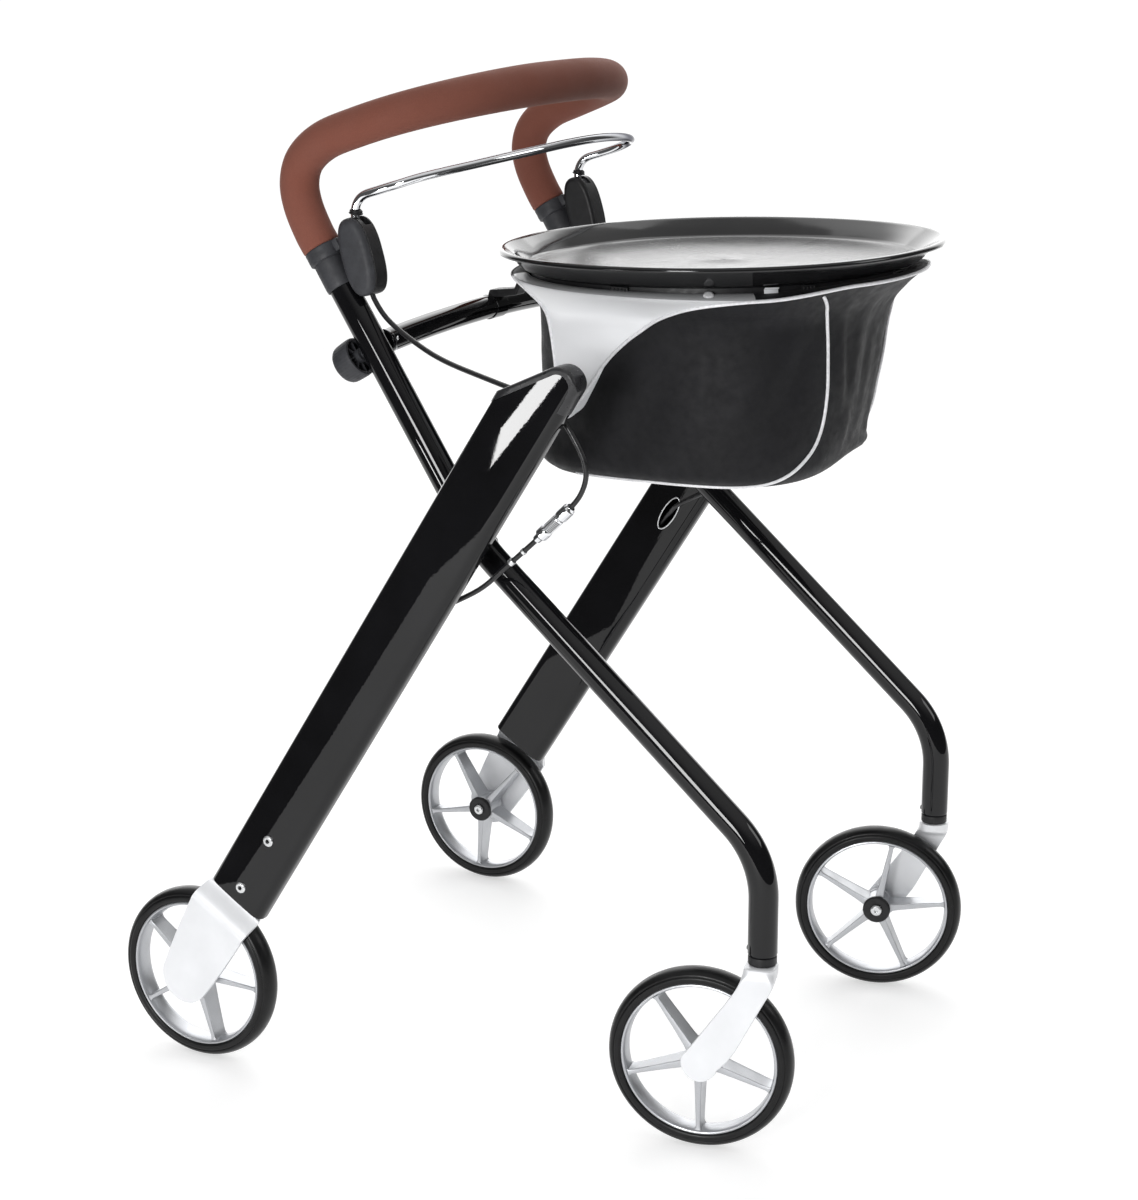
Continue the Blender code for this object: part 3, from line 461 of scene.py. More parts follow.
# ------------------------------------------------------------------ materials
class Look:
    """A Principled material with a few short-hands for its procedural detail."""

    def __init__(self, name, base, rough, metal=0.0, **more):
        self.m = bpy.data.materials.new(name)
        self.m.use_nodes = True
        self.t = self.m.node_tree
        self.b = self.t.nodes["Principled BSDF"]
        self.base = base
        self.put("Base Color", (*base, 1.0))
        self.put("Roughness", rough)
        self.put("Metallic", metal)
        for k, v in more.items():
            self.put(k.replace("_", " "), v)
        self.co = self.t.nodes.new("ShaderNodeTexCoord").outputs["Object"]
        self.last = None

    def put(self, key, value):
        self.b.inputs[key].default_value = value

    def scaled(self, s):
        n = self.t.nodes.new("ShaderNodeMapping")
        n.inputs["Scale"].default_value = s
        self.t.links.new(self.co, n.inputs["Vector"])
        return n.outputs["Vector"]

    def noise(self, scale, detail=3.0, rough=0.55, vec=None, distort=0.0):
        n = self.t.nodes.new("ShaderNodeTexNoise")
        n.inputs["Scale"].default_value = scale
        n.inputs["Detail"].default_value = detail
        n.inputs["Roughness"].default_value = rough
        n.inputs["Distortion"].default_value = distort
        self.t.links.new(vec or self.co, n.inputs["Vector"])
        return n.outputs["Fac"]

    def cells(self, scale, vec=None, feature="F1", smooth=None):
        n = self.t.nodes.new("ShaderNodeTexVoronoi")
        n.feature = feature
        n.inputs["Scale"].default_value = scale
        self.t.links.new(vec or self.co, n.inputs["Vector"])
        return n.outputs["Distance"]

    def math(self, op, a, b=None, c=None):
        n = self.t.nodes.new("ShaderNodeMath")
        n.operation = op
        for i, x in enumerate((a, b, c)):
            if x is None:
                continue
            if isinstance(x, (int, float)):
                n.inputs[i].default_value = x
            else:
                self.t.links.new(x, n.inputs[i])
        return n.outputs[0]

    def span(self, fac, a0, a1, b0, b1):
        n = self.t.nodes.new("ShaderNodeMapRange")
        n.inputs["From Min"].default_value = a0
        n.inputs["From Max"].default_value = a1
        n.inputs["To Min"].default_value = b0
        n.inputs["To Max"].default_value = b1
        self.t.links.new(fac, n.inputs["Value"])
        return n.outputs["Result"]

    def blend(self, fac, c0, c1):
        n = self.t.nodes.new("ShaderNodeMix")
        n.data_type = "RGBA"
        for i, c in ((6, c0), (7, c1)):
            if isinstance(c, tuple):
                n.inputs[i].default_value = (*c, 1.0)
            else:
                self.t.links.new(c, n.inputs[i])
        self.t.links.new(fac, n.inputs[0])
        return n.outputs[2]

    def colour(self, out):
        self.t.links.new(out, self.b.inputs["Base Color"])
        return self

    def vary(self, fac, low, high, a0=0.35, a1=0.65):
        """Base colour between low and high times the base, by a pattern."""
        f = self.span(fac, a0, a1, 0.0, 1.0)
        c0 = tuple(min(1.0, x * low) for x in self.base)
        c1 = tuple(min(1.0, x * high) for x in self.base)
        self.colour(self.blend(f, c0, c1))
        return self

    def rough(self, fac, r0, r1, a0=0.3, a1=0.7):
        self.t.links.new(self.span(fac, a0, a1, r0, r1), self.b.inputs["Roughness"])
        return self

    def bump(self, height, strength, distance):
        n = self.t.nodes.new("ShaderNodeBump")
        n.inputs["Strength"].default_value = strength
        n.inputs["Distance"].default_value = distance
        self.t.links.new(height, n.inputs["Height"])
        if self.last is not None:
            self.t.links.new(self.last, n.inputs["Normal"])
        self.last = n.outputs["Normal"]
        self.t.links.new(self.last, self.b.inputs["Normal"])
        return self


# black gloss paint: faint orange peel, fine wiping marks
paint = Look("black_gloss_paint", (0.0045, 0.0045, 0.0052), 0.05, 0.0, Specular_IOR_Level=0.38)
paint.vary(paint.noise(14), 0.8, 1.3)
paint.rough(paint.noise(36, 5, 0.65, distort=0.6), 0.010, 0.026)
paint.bump(paint.noise(520, 2, 0.5), 0.05, 0.00008)
paint.bump(paint.noise(60, 2, 0.5), 0.035, 0.0003)

# satin grey plastic: fine moulded grain
grey = Look("grey_moulded_plastic", (0.036, 0.037, 0.042), 0.52, 0.0, Specular_IOR_Level=0.40)
grey.vary(grey.noise(90, 4), 0.84, 1.2)
grey.rough(grey.noise(240, 4), 0.46, 0.66)
grey.bump(grey.cells(1500), 0.22, 0.00010)
grey.bump(grey.noise(5200, 2), 0.15, 0.00004)

# black plastic with a finer grain
black = Look("black_moulded_plastic", (0.0075, 0.0075, 0.0085), 0.45, 0.0, Specular_IOR_Level=0.40)
black.vary(black.noise(120, 4), 0.8, 1.35)
black.rough(black.noise(260, 4), 0.34, 0.56)
black.bump(black.noise(3600, 3), 0.20, 0.00006)

# black plastic of the leg's end cap: smoother than the rest
cap_black = Look("cap_moulded_plastic", (0.020, 0.020, 0.022), 0.30)
cap_black.vary(cap_black.noise(120, 4), 0.8, 1.3)
cap_black.rough(cap_black.noise(200, 4), 0.24, 0.38)
cap_black.bump(cap_black.noise(2600, 3), 0.12, 0.00005)

# gloss black serving tray wall, and its satin floor
tray_wall = Look("tray_gloss", (0.0075, 0.0075, 0.008), 0.10)
tray_wall.vary(tray_wall.noise(30), 0.8, 1.25)
tray_wall.rough(tray_wall.noise(24, 5, 0.65, distort=0.8), 0.06, 0.16)
tray_wall.bump(tray_wall.noise(60, 2), 0.04, 0.0004)
tray_floor = Look("tray_satin", (0.011, 0.011, 0.012), 0.34, 0.0, Specular_IOR_Level=0.40)
tray_floor.vary(tray_floor.noise(18, 5), 0.8, 1.3)
tray_floor.rough(tray_floor.noise(11, 6, 0.7, distort=1.2), 0.20, 0.29)
tray_floor.bump(tray_floor.noise(1900, 2), 0.14, 0.00008)

# satin silver sheet of the forks: fine rolled lines under a clear lacquer
silver = Look("satin_silver_sheet", (0.80, 0.81, 0.83), 0.42, 0.30, Coat_Weight=0.25, Coat_Roughness=0.25)
silver.vary(silver.noise(26, 3), 0.965, 1.03)
silver.rough(silver.noise(40, 5, 0.6), 0.36, 0.48)
silver.bump(silver.noise(900, 2, 0.5, silver.scaled((1.0, 0.12, 1.0))), 0.10, 0.00004)

# silver-painted wheel: metal flake paint on moulded nylon
wheel_paint = Look("silver_wheel_paint", (0.50, 0.51, 0.53), 0.34, 0.80)
wheel_paint.vary(wheel_paint.cells(4200), 0.90, 1.10, 0.2, 0.8)
wheel_paint.rough(wheel_paint.noise(70, 4), 0.30, 0.44)
wheel_paint.bump(wheel_paint.noise(700, 2), 0.08, 0.00006)

# chrome of the brake bar: very fine polishing marks
chrome = Look("polished_chrome", (0.84, 0.85, 0.87), 0.05, 1.0, Specular_Tint=(0.10, 0.10, 0.11, 1.0))
chrome.rough(chrome.noise(60, 5, 0.65), 0.03, 0.085)
chrome.vary(chrome.noise(22), 0.95, 1.03)
chrome.bump(chrome.noise(90, 2, 0.5), 0.02, 0.0002)

# zinc-plated screws
steel = Look("zinc_plated_steel", (0.80, 0.81, 0.82), 0.28, 0.85)
steel.vary(steel.noise(300, 3), 0.86, 1.08)
steel.rough(steel.noise(900, 4), 0.17, 0.36)
steel.bump(steel.noise(2600, 2), 0.10, 0.00004)

# bare aluminium of the sliding inner tube: drawn lines along it
drawn = Look("drawn_aluminium", (0.58, 0.59, 0.60), 0.30, 1.0)
drawn.vary(drawn.noise(160, 3), 0.90, 1.06)
drawn.rough(drawn.noise(500, 3, 0.5, drawn.scaled((1.0, 0.06, 0.06))), 0.20, 0.40)
drawn.bump(drawn.noise(2400, 2, 0.5, drawn.scaled((1.0, 0.04, 0.04))), 0.08, 0.00004)

# tyre: slightly dusty black rubber
rubber = Look("tyre_rubber", (0.0035, 0.0035, 0.0038), 0.32, 0.0, Specular_IOR_Level=0.28)
rubber.vary(rubber.noise(55, 5, 0.7), 0.75, 1.7)
rubber.rough(rubber.noise(80, 5, 0.65), 0.26, 0.42)
rubber.bump(rubber.noise(1300, 3), 0.14, 0.00010)

shoe_rubber = Look("brake_shoe_rubber", (0.016, 0.016, 0.017), 0.75)
shoe_rubber.vary(shoe_rubber.noise(200, 4), 0.8, 1.5)
shoe_rubber.bump(shoe_rubber.noise(900, 3), 0.3, 0.0002)

# red-brown foam: fine open pores, soft handling marks
foam = Look("red_brown_foam", (0.205, 0.066, 0.043), 0.88, 0.0, Sheen_Weight=0.10, Sheen_Roughness=0.45)
foam.put("Sheen Tint", (0.95, 0.72, 0.62, 1.0))
foam_a = foam.noise(9, 5, 0.6, distort=0.4)
foam_b = foam.cells(1700)
foam_mix = foam.math("ADD", foam.math("MULTIPLY", foam_a, 0.62), foam.math("MULTIPLY", foam_b, 0.5))
foam.vary(foam_mix, 0.86, 1.14, 0.25, 0.80)
foam.rough(foam.noise(30, 4), 0.80, 0.95)
foam.bump(foam_b, 0.40, 0.00022)
foam.bump(foam.noise(160, 4, 0.6), 0.12, 0.0006)
foam.bump(foam.noise(3400, 2), 0.18, 0.00008)

# cable sheath: satin, a little wavy
sheath = Look("cable_sheath", (0.012, 0.012, 0.013), 0.33)
sheath.vary(sheath.noise(130, 3), 0.8, 1.3)
sheath.rough(sheath.noise(300, 3), 0.24, 0.42)
sheath.bump(sheath.noise(700, 2), 0.12, 0.00008)


def weave(lk, pitch, depth, strength):
    """Plain weave from the piece's own unwrapped coordinates, which are in metres."""
    uv = lk.t.nodes.new("ShaderNodeUVMap")
    sep = lk.t.nodes.new("ShaderNodeSeparateXYZ")
    lk.t.links.new(uv.outputs["UV"], sep.inputs[0])
    k = 2 * PI / pitch
    a = lk.math("SINE", lk.math("MULTIPLY", sep.outputs[0], k))
    b = lk.math("SINE", lk.math("MULTIPLY", sep.outputs[1], k))
    h = lk.math("MULTIPLY", a, b)
    lk.bump(lk.math("MULTIPLY_ADD", h, 0.5, 0.5), strength, depth)
    return h


# black nylon of the bag
nylon = Look("black_nylon", (0.0045, 0.0045, 0.0060), 0.56, 0.0, Specular_IOR_Level=0.28, Sheen_Weight=0.03, Sheen_Roughness=0.40)
nh = weave(nylon, 0.0011, 0.00016, 0.55)
nylon_mix = nylon.math("ADD", nylon.math("MULTIPLY", nylon.noise(16, 5, 0.6), 0.8), nylon.math("MULTIPLY", nh, 0.10))
nylon.vary(nylon_mix, 0.72, 1.5, 0.25, 0.60)
nylon.rough(nylon.noise(120, 4), 0.52, 0.70)
nylon.bump(nylon.noise(42, 4, 0.6), 0.18, 0.0012)

# coated silver cloth of the bag's collar; its colour is darkened towards the brim as painted shade and painted
# reflection of the dark tray above, with a faint random tone
coated = Look("coated_silver_cloth", (0.94, 0.95, 0.97), 0.40, 0.10)
uv_n = coated.t.nodes.new("ShaderNodeUVMap")
uv_s = coated.t.nodes.new("ShaderNodeSeparateXYZ")
coated.t.links.new(uv_n.outputs["UV"], uv_s.inputs[0])
# painted shade and reflection: the colour darkens towards the top of the collar under the tray; the noise adds random
# tone
tray_shade_and_tone = coated.math("ADD", coated.span(uv_s.outputs[1], 0.652, 0.674, 0.0, 0.94), coated.math("MULTIPLY", coated.noise(20, 4), 0.06))
coated.vary(tray_shade_and_tone, 1.0, 0.56, 0.0, 1.0)
coated.rough(coated.noise(14, 2), 0.28, 0.36)
coated.bump(coated.noise(9, 2), 0.05, 0.0010)
coated.bump(coated.noise(2400, 2), 0.04, 0.00004)

# reflective piping
piping = Look("reflective_piping", (0.83, 0.83, 0.85), 0.42, 0.15)
piping.vary(piping.noise(400, 3), 0.90, 1.06)
piping.rough(piping.noise(500, 3), 0.34, 0.52)
piping.bump(piping.cells(1500), 0.18, 0.00012)


def dress(ob, name, body, nodes, slot, looks, angle=34, weighted=False, to_real=True):
    """Bring a piece to real size, give it its materials and tie it to the named body; when body is not a name, its
    placement is only baked into the mesh.
    """
    ob.name = name
    ob.data.name = name
    if to_real:
        ob.data.transform(REAL)
    which = [p.material_index for p in ob.data.polygons]
    ob.data.materials.clear()
    for l in looks:
        ob.data.materials.append(l.m)
    for p, i in zip(ob.data.polygons, which):
        p.use_smooth = True
        p.material_index = min(i, len(looks) - 1)
    ob.data.set_sharp_from_angle(angle=math.radians(angle))
    if weighted:
        w = ob.modifiers.new("normals", "WEIGHTED_NORMAL")
        w.keep_sharp = True
        w.weight = 80
    if isinstance(body, str):
        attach(ob, body)
    else:
        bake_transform(ob)
    if nodes:
        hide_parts(*nodes)
    return ob


def pair(ob, name, body, node, slot, looks, **kw):
    """The piece on the user's right, and its mirror image on the left."""
    other = copied(ob, name + "_left", MIRROR, flip=True)
    for s, o in (("right", ob), ("left", other)):
        dress(o, name + "_" + s, body.replace("*", s), [n.replace("*", s) for n in node], slot, looks, **kw)


# ------------------------------------------------------------------ frame tubes
line = [Vector((STEM_Y, STEM_Z + 0.0064)), Vector((STEM_Y, 0.22)), Vector((STEM_Y, 0.24))]
line += arc2(BEND_LOW, (STEM_Y, STEM_Z), BEND_MID, 0.090, 22)
e0, e1 = line[-1], arc2(BEND_MID, BEND_LOW, TUBE_TOP, 0.150, 12)
line += [lerp(e0, e1[0], 0.33), lerp(e0, e1[0], 0.66)] + e1 + [lerp(e1[-1], top, 0.4), lerp(e1[-1], top, 0.8), top]
pts = with_ends([(-TUBE_X, p.x, p.y) for p in line], 0.0024)
tube = sweep("tube", pts, TUBE_R, 72, rounded_ends(pts, TUBE_R, 0.0024))
plug = turned("plug", fillet([(0.0076, 0), (0.0128, 0), (0.0136, 0.0010), (0.0136, 0.0086), (0.0076, 0.0086)], 0.0005, 3, True), (-TUBE_X, STEM_Y, 0.1907), (-TUBE_X, STEM_Y, 1), 56, closed=True)
screw = turned("screw", fillet([(0, 0), (0.0026, 0), (0.0026, 0.0016), (0, 0.0016)], 0.0006, 3), (-TUBE_X, STEM_Y + TUBE_R - 0.0002, 0.2040), (-TUBE_X, STEM_Y + 1, 0.2040), 24)
tube = merge("tube", tube, shade(plug, 1), shade(screw, 1))
pair(tube, "main_tube", "frame", ["frame_tube_*"], "gloss_black", [paint, black])

# crossbar, a little higher in the middle, with its end saddles and their screws
cx = TUBE_X - TUBE_R + 0.0006


def cross_z(x):
    return CROSS[1] - 0.0022 + 0.0086 * (1 - (x / cx) ** 2)


pts = [(x * cx, CROSS[0], cross_z(x * cx)) for x in (-1, -0.98, -0.8, -0.6, -0.4, -0.25, -0.15, -0.08, -0.03, 0.03, 0.08, 0.15, 0.25, 0.4, 0.6, 0.8, 0.98, 1)]
parts = [sweep("crossbar_tube", pts, CROSS_R, 64)]
for sgn in (-1, 1):
    p0, p1 = Vector((sgn * cx, CROSS[0], cross_z(cx))), Vector((0, CROSS[0], cross_z(cx)))
    parts.append(turned("saddle", fillet([(CROSS_R - 0.0010, 0), (CROSS_R + 0.0011, 0), (CROSS_R + 0.0009, 0.0050), (CROSS_R - 0.0010, 0.0058)], 0.0004, 3, True), p0, p1, 64, closed=True))
    for dz, dy in ((0.0020, -0.0122), (-0.0070, -0.0106)):
        p = Vector((sgn * (TUBE_X - TUBE_R - 0.0052), CROSS[0] + dy, CROSS[1] + dz))
        parts.append(shade(turned("s", fillet([(0, 0), (0.0019, 0), (0.0019, 0.0014), (0, 0.0018)], 0.0004, 3), p, p + Vector((-sgn * 0.2, -0.3, 0)), 16), 1))
dress(merge("crossbar_tube", *parts), "crossbar_tube", "frame", ["crossbar"], "gloss_black", [paint, steel])

# guide sleeves on the tube ends
prof = [(TUBE_R + 0.0001, 0.0), (0.0156, 0.0), (0.0161, 0.0040), (0.0159, 0.0230), (0.0157, 0.0308), (0.0148, 0.0320), (INNER_R + 0.0002, 0.0320), (INNER_R + 0.0002, 0.0032), (TUBE_R + 0.0001, 0.0032)]
sl = turned("sleeve", fillet(prof, [0, 0.0008, 0.004, 0.004, 0.0009, 0.0006, 0, 0, 0], 4), (-TUBE_X, *on_tube(-0.0030)), (-TUBE_X, *on_tube(0.1)), 72, closed=True)
pair(sl, "guide_sleeve", "frame", ["tube_sleeve_*"], "matt_grey", [grey])

# ------------------------------------------------------------------ handlebar
HANDLE = [(-0.2240, *on_tube(0.036)), (-0.2240, *on_tube(0.058)), (-0.2235, -0.1045, 0.868), (-0.2230, -0.1010, 0.890),
          (-0.2230, -0.1085, 0.911), (-0.2220, -0.1300, 0.929), (-0.2170, -0.1620, 0.942), (-0.2010, -0.1960, 0.954),
          (-0.1690, -0.2270, 0.964), (-0.1210, -0.2490, 0.971), (-0.0620, -0.2610, 0.975), (0.0, -0.2650, 0.976)]
half = half_bar(HANDLE, 10)
inner = [Vector((-TUBE_X, *on_tube(-0.195))), Vector((-TUBE_X, *on_tube(-0.06)))] + half
dress(sweep("inner_tube", both(inner), INNER_R, 32), "inner_tube", "handlebar", ["handlebar_tube"], "tube_metal", [drawn])

hg = [p for p in half if p.z > on_tube(0.050).y]
hg = [Vector((-0.2240, *on_tube(0.0395)))] + hg
n0 = len(hg)
LIP = 0.0034
hg = [hg[0] + (hg[1] - hg[0]).normalized() * (LIP * (1 - math.cos(PI / 2 * i / 6))) for i in range(7)] + [p for p in hg[1:] if (p - hg[0]).length > LIP * 1.2]
dist = [0.0]
for a, b in zip(hg, hg[1:]):
    dist.append(dist[-1] + (b - a).length)
rad = []
for d in dist:
    f = d / dist[-1]
    r = 1.0 + 0.10 * ease((f - 0.30) / 0.60)
    if d < LIP:
        r *= (GRIP_R - LIP + math.sqrt(max(0.0, LIP * LIP - (LIP - d) ** 2))) / GRIP_R
    rad.append(r)
grip = sweep("foam_grip", both(hg), GRIP_R, 72, rad + list(reversed(rad[:-1])))
dress(grip, "foam_grip", "handlebar", ["handle_grip"], "foam", [foam])

# clamp rings under the grip, with the arm to the brake housing
POD_C = Vector((-0.1707, 0.8229))
POD_T = math.radians(16.0)
pod_u = Vector((math.sin(POD_T), math.cos(POD_T)))
pod_w = Vector((math.cos(POD_T), -math.sin(POD_T)))
POD_HL, POD_HW = 0.0375, 0.0165


def pod_loop(x, grow, n=64, keep=1.0):
    out = []
    for i in range(n):
        a = 2 * PI * i / n
        c, s = math.cos(a), math.sin(a)
        w = (POD_HW + grow) * keep * math.copysign(abs(c) ** 0.78, c)
        v = (POD_HL + grow) * keep * math.copysign(abs(s) ** 0.78, s)
        p = POD_C + pod_w * w + pod_u * v
        out.append(Vector((x, p.x, p.y)))
    return out


prof = [(0.0166, 0.0), (0.0181, 0.0012), (0.0184, 0.0050), (0.0182, 0.0095), (0.0184, 0.0130), (0.0180, 0.0140), (INNER_R + 0.0002, 0.0140), (INNER_R + 0.0002, 0.0009), (0.0150, 0.0009), (0.0150, 0.0)]
ring = turned("clamp", fillet(prof, [0.0004, 0.0006, 0.002, 0.002, 0.0006, 0.0005, 0, 0, 0, 0], 3), (-TUBE_X, *on_tube(0.0258)), (-TUBE_X, *on_tube(0.1)), 72, closed=True)
arm_c = on_tube(0.0335, 0.0176)
arm = block("arm", (0, 0, 0), (0.0150, 0.0100, 0.0120), Matrix.Translation((-TUBE_X, arm_c.x, arm_c.y)) @ Matrix.Rotation(math.atan2(up.y, up.x) - PI / 2, 4, "X"), 0.0016, 3)
pair(merge("clamp", ring, arm), "grip_cuff", "handlebar", ["grip_clamp_*"], "matt_grey", [grey])

# brake lever housings in two shells
X0 = -0.2328
cover = loft("cover", [pod_loop(-0.2205, -0.0030), pod_loop(X0 + 0.0002, -0.0014), pod_loop(X0 - 0.0002, -0.0002)] + [pod_loop(X0 - 0.0066 * math.sin(a), -0.0075 * (1 - math.cos(a)) - 0.0001) for a in [PI / 2 * i / 10 for i in range(1, 11)]]
             + [pod_loop(X0 - 0.0066 - 0.0004 * (1 - k), -0.0076, keep=k) for k in (0.8, 0.5, 0.2)])
back = (Vector((-TUBE_X, *on_tube(-0.050))), Vector((-TUBE_X, *on_tube(0.026))))
cover = cut(cover, rod("c", *back, 0.0168, 48))
pair(cover, "brake_cover_shell", "handlebar", ["brake_cover_*"], "matt_grey", [grey], weighted=True)
X1 = -0.2090
pod = loft("pod", [pod_loop(X1 - 0.0050 * (1 - math.sin(a)), -0.0050 * (1 - math.cos(a))) for a in [PI / 2 * i / 8 for i in range(8, 0, -1)]] + [pod_loop(X1 - 0.0050, 0.0), pod_loop(-0.2318, 0.0), pod_loop(-0.2322, -0.0006), pod_loop(-0.2324, -0.0030)])
sc = POD_C + pod_u * 0.0330
pod = cut(pod, rod("c", *back, 0.0168, 48),
          block("c", (0, 0, 0), (0.0118, 0.0262, 0.020), Matrix.Translation((-0.2210, sc.x, sc.y)) @ Matrix.Rotation(-POD_T, 4, "X"), 0))
pair(pod, "brake_body_shell", "handlebar", ["brake_housing_*"], "matt_black", [black], weighted=True)

# brake bar with its collars
PIN = POD_C - pod_u * 0.0080
exit_p = Vector((-0.1620, 0.8570))
BARP = [(-0.2210, *(PIN + pod_u * 0.003)), (-0.2212, *(PIN + (exit_p - PIN) * 0.55)), (-0.2220, -0.1625, 0.8580), (-0.2225, -0.1645, 0.8710),
        (-0.2230, -0.1730, 0.8800), (-0.2238, -0.1910, 0.8860), (-0.2215, -0.2100, 0.8920), (-0.2110, -0.2270, 0.8980),
        (-0.1900, -0.2430, 0.9030), (-0.1610, -0.2580, 0.9075), (-0.1260, -0.2720, 0.9120), (-0.0860, -0.2840, 0.9160),
        (-0.0430, -0.2910, 0.9190), (0.0, -0.2935, 0.9200)]
dress(sweep("chrome_bar", both(half_bar(BARP, 10)), BAR_R, 40), "chrome_bar", "brake_bar", ["brake_bar"], "chrome", [chrome])
bdir = (Vector((-0.2225, -0.1645, 0.8710)) - Vector((-0.2220, -0.1625, 0.8580))).normalized()
b0 = Vector((-0.2221, -0.1630, 0.8606))
prof = [(BAR_R + 0.0002, 0.0012), (0.0060, 0.0012), (0.0070, 0.0018), (0.0068, 0.0026), (0.0058, 0.0031), (0.0064, 0.0040), (0.0059, 0.0050), (0.0050, 0.0057), (BAR_R + 0.0002, 0.0061)]
co = turned("collar", fillet(prof, 0.0006, 3, True), b0, b0 + bdir, 40, closed=True)
pair(co, "bar_gaiter", "brake_bar", ["bar_collar_*"], "matt_black", [black])

# ------------------------------------------------------------------ height clamp knobs
kd = -front_n
k0 = on_tube(-0.0668) + kd * (TUBE_R + 0.0055)


def flutes(a, r, h):
    return -0.00022 * (0.5 - 0.5 * math.cos(36 * a)) ** 2 if r > 0.0175 and 0.0018 < h < 0.0205 else 0.0


prof = [(0, 0.0225), (0.0120, 0.0224), (0.0150, 0.0220), (0.0172, 0.0210), (0.0186, 0.0192), (0.0193, 0.0165), (0.0197, 0.0100), (0.0199, 0.0040), (0.0198, 0.0020), (0.0192, 0.0004), (0.0180, 0.0), (0.0166, 0.0006), (0.0160, 0.0022), (0.0158, 0.0062), (0.0075, 0.0062), (0.0070, 0.0055), (0.0068, -0.0030), (0.0034, -0.0034), (0.0032, -0.0078), (0, -0.0078)]
knob = turned("knob", prof, (-TUBE_X, *k0), (-TUBE_X, *(k0 + kd)), 216, mod=flutes)
parts = [knob]
for i in range(8):
    a = 2 * PI * i / 8
    M = frame_from((-TUBE_X, *k0), (-TUBE_X, *(k0 + kd))) @ Matrix.Rotation(a, 4, "Z")
    parts.append(block("rib", (0.0114, 0, 0.0040), (0.0090, 0.0012, 0.0052), M, 0.0003, 1))
pair(merge("knob", *parts), "height_knob", "knob_*", ["clamp_knob_*"], "matt_grey", [grey])

# ------------------------------------------------------------------ rear legs
LM = Matrix(((0, 1, 0, -LEG_X), (leg_w.x, 0, leg_s.x, lb.x), (leg_w.y, 0, leg_s.y, lb.y), (0, 0, 0, 1)))
if LM.determinant() < 0:
    LM = LM @ Matrix.Diagonal((1, -1, 1, 1))


def leg_section(w, t, r, n=12, crown=2.5, across=16):
    """Outline of the flat leg: round edges running into slightly crowned faces."""
    d = math.radians(crown)
    cx_ = w / 2 - r
    end = cx_ + r * math.sin(d)
    big = end / math.sin(d)
    cy_ = t / 2 - r * math.cos(d) - big * (1 - math.cos(d))
    out = []
    for sy in (1, -1):
        for i in range(n + 1):
            a = (PI / 2 - d) * i / n
            out.append((sy * (cx_ + r * math.cos(a)), sy * (cy_ + r * math.sin(a))))
        for i in range(1, across):
            a = d - 2 * d * i / across
            out.append((sy * big * math.sin(a), sy * (t / 2 - big * (1 - math.cos(a)))))
        for i in range(n + 1):
            a = (PI / 2 - d) * (1 - i / n)
            out.append((-sy * (cx_ + r * math.cos(a)), sy * (cy_ + r * math.sin(a))))
    clean = []
    for p in out:
        if not clean or math.hypot(p[0] - clean[-1][0], p[1] - clean[-1][1]) > 1e-6:
            clean.append(p)
    if math.hypot(clean[0][0] - clean[-1][0], clean[0][1] - clean[-1][1]) < 1e-6:
        clean.pop()
    return clean


NOSE_C, NOSE_R = (0.0160, 0.6640), 0.0180


def leg_top(inset, n=20, extra=0.004):
    """Line over the top of the leg in (across, along), rear corner first."""
    r = NOSE_R - inset
    pts = []
    for i in range(n + 1):
        a = math.radians(147 - 157 * i / n)
        pts.append(Vector((NOSE_C[0] + r * math.cos(a), NOSE_C[1] + r * math.sin(a))))
    w0 = -LEG_W / 2 - extra
    t = (pts[0].x - w0) / math.cos(math.radians(57))
    pts.insert(0, Vector((w0, pts[0].y - math.sin(math.radians(57)) * t)))
    return pts


def leg_side(inset):
    w0 = -LEG_W / 2 - 0.004
    pts = [Vector((w0, 0.0)), Vector((LEG_W / 2 + 0.004, 0.0)), Vector((LEG_W / 2 + 0.004, 0.655))] + leg_top(inset)[::-1]
    out = []
    for p in pts:
        q = leg(p.y, p.x)
        out.append((q.x, q.y))
    return out


def across(name, inset):
    return slab(name, leg_side(inset), X_UP, -LEG_X - 0.02, -LEG_X + 0.02)


STRIP = 0.0066
shell = boolean(slab("leg", leg_section(LEG_W, LEG_T, 0.0098), LM, 0.0, 0.70), across("a", STRIP), "INTERSECT")
shell = cut(shell, slab("h", leg_section(LEG_W - 2 * LEG_WALL, LEG_T - 2 * LEG_WALL, 0.0076, 6, 2.0, 6), LM, -0.01, 0.62))
# long hole for the cable on the inner face
entry = []
for i in range(40):
    a = 2 * PI * i / 40
    p = leg(0.3635 + 0.0215 * math.sin(a), 0.0050 + 0.0075 * math.cos(a))
    entry.append((p.x, p.y))
shell = cut(shell, slab("e", entry, X_UP, -LEG_X + 0.004, -LEG_X + 0.030), rod("p", (-LEG_X + 0.0045, *mid), (-LEG_X + 0.03, *mid), 0.0048, 24))
shell = bevelled(shell, 0.0005, 2, 60)
pair(shell, "leg_shell", "leg_*", ["rear_leg_*"], "gloss_black", [paint], angle=30, weighted=True)

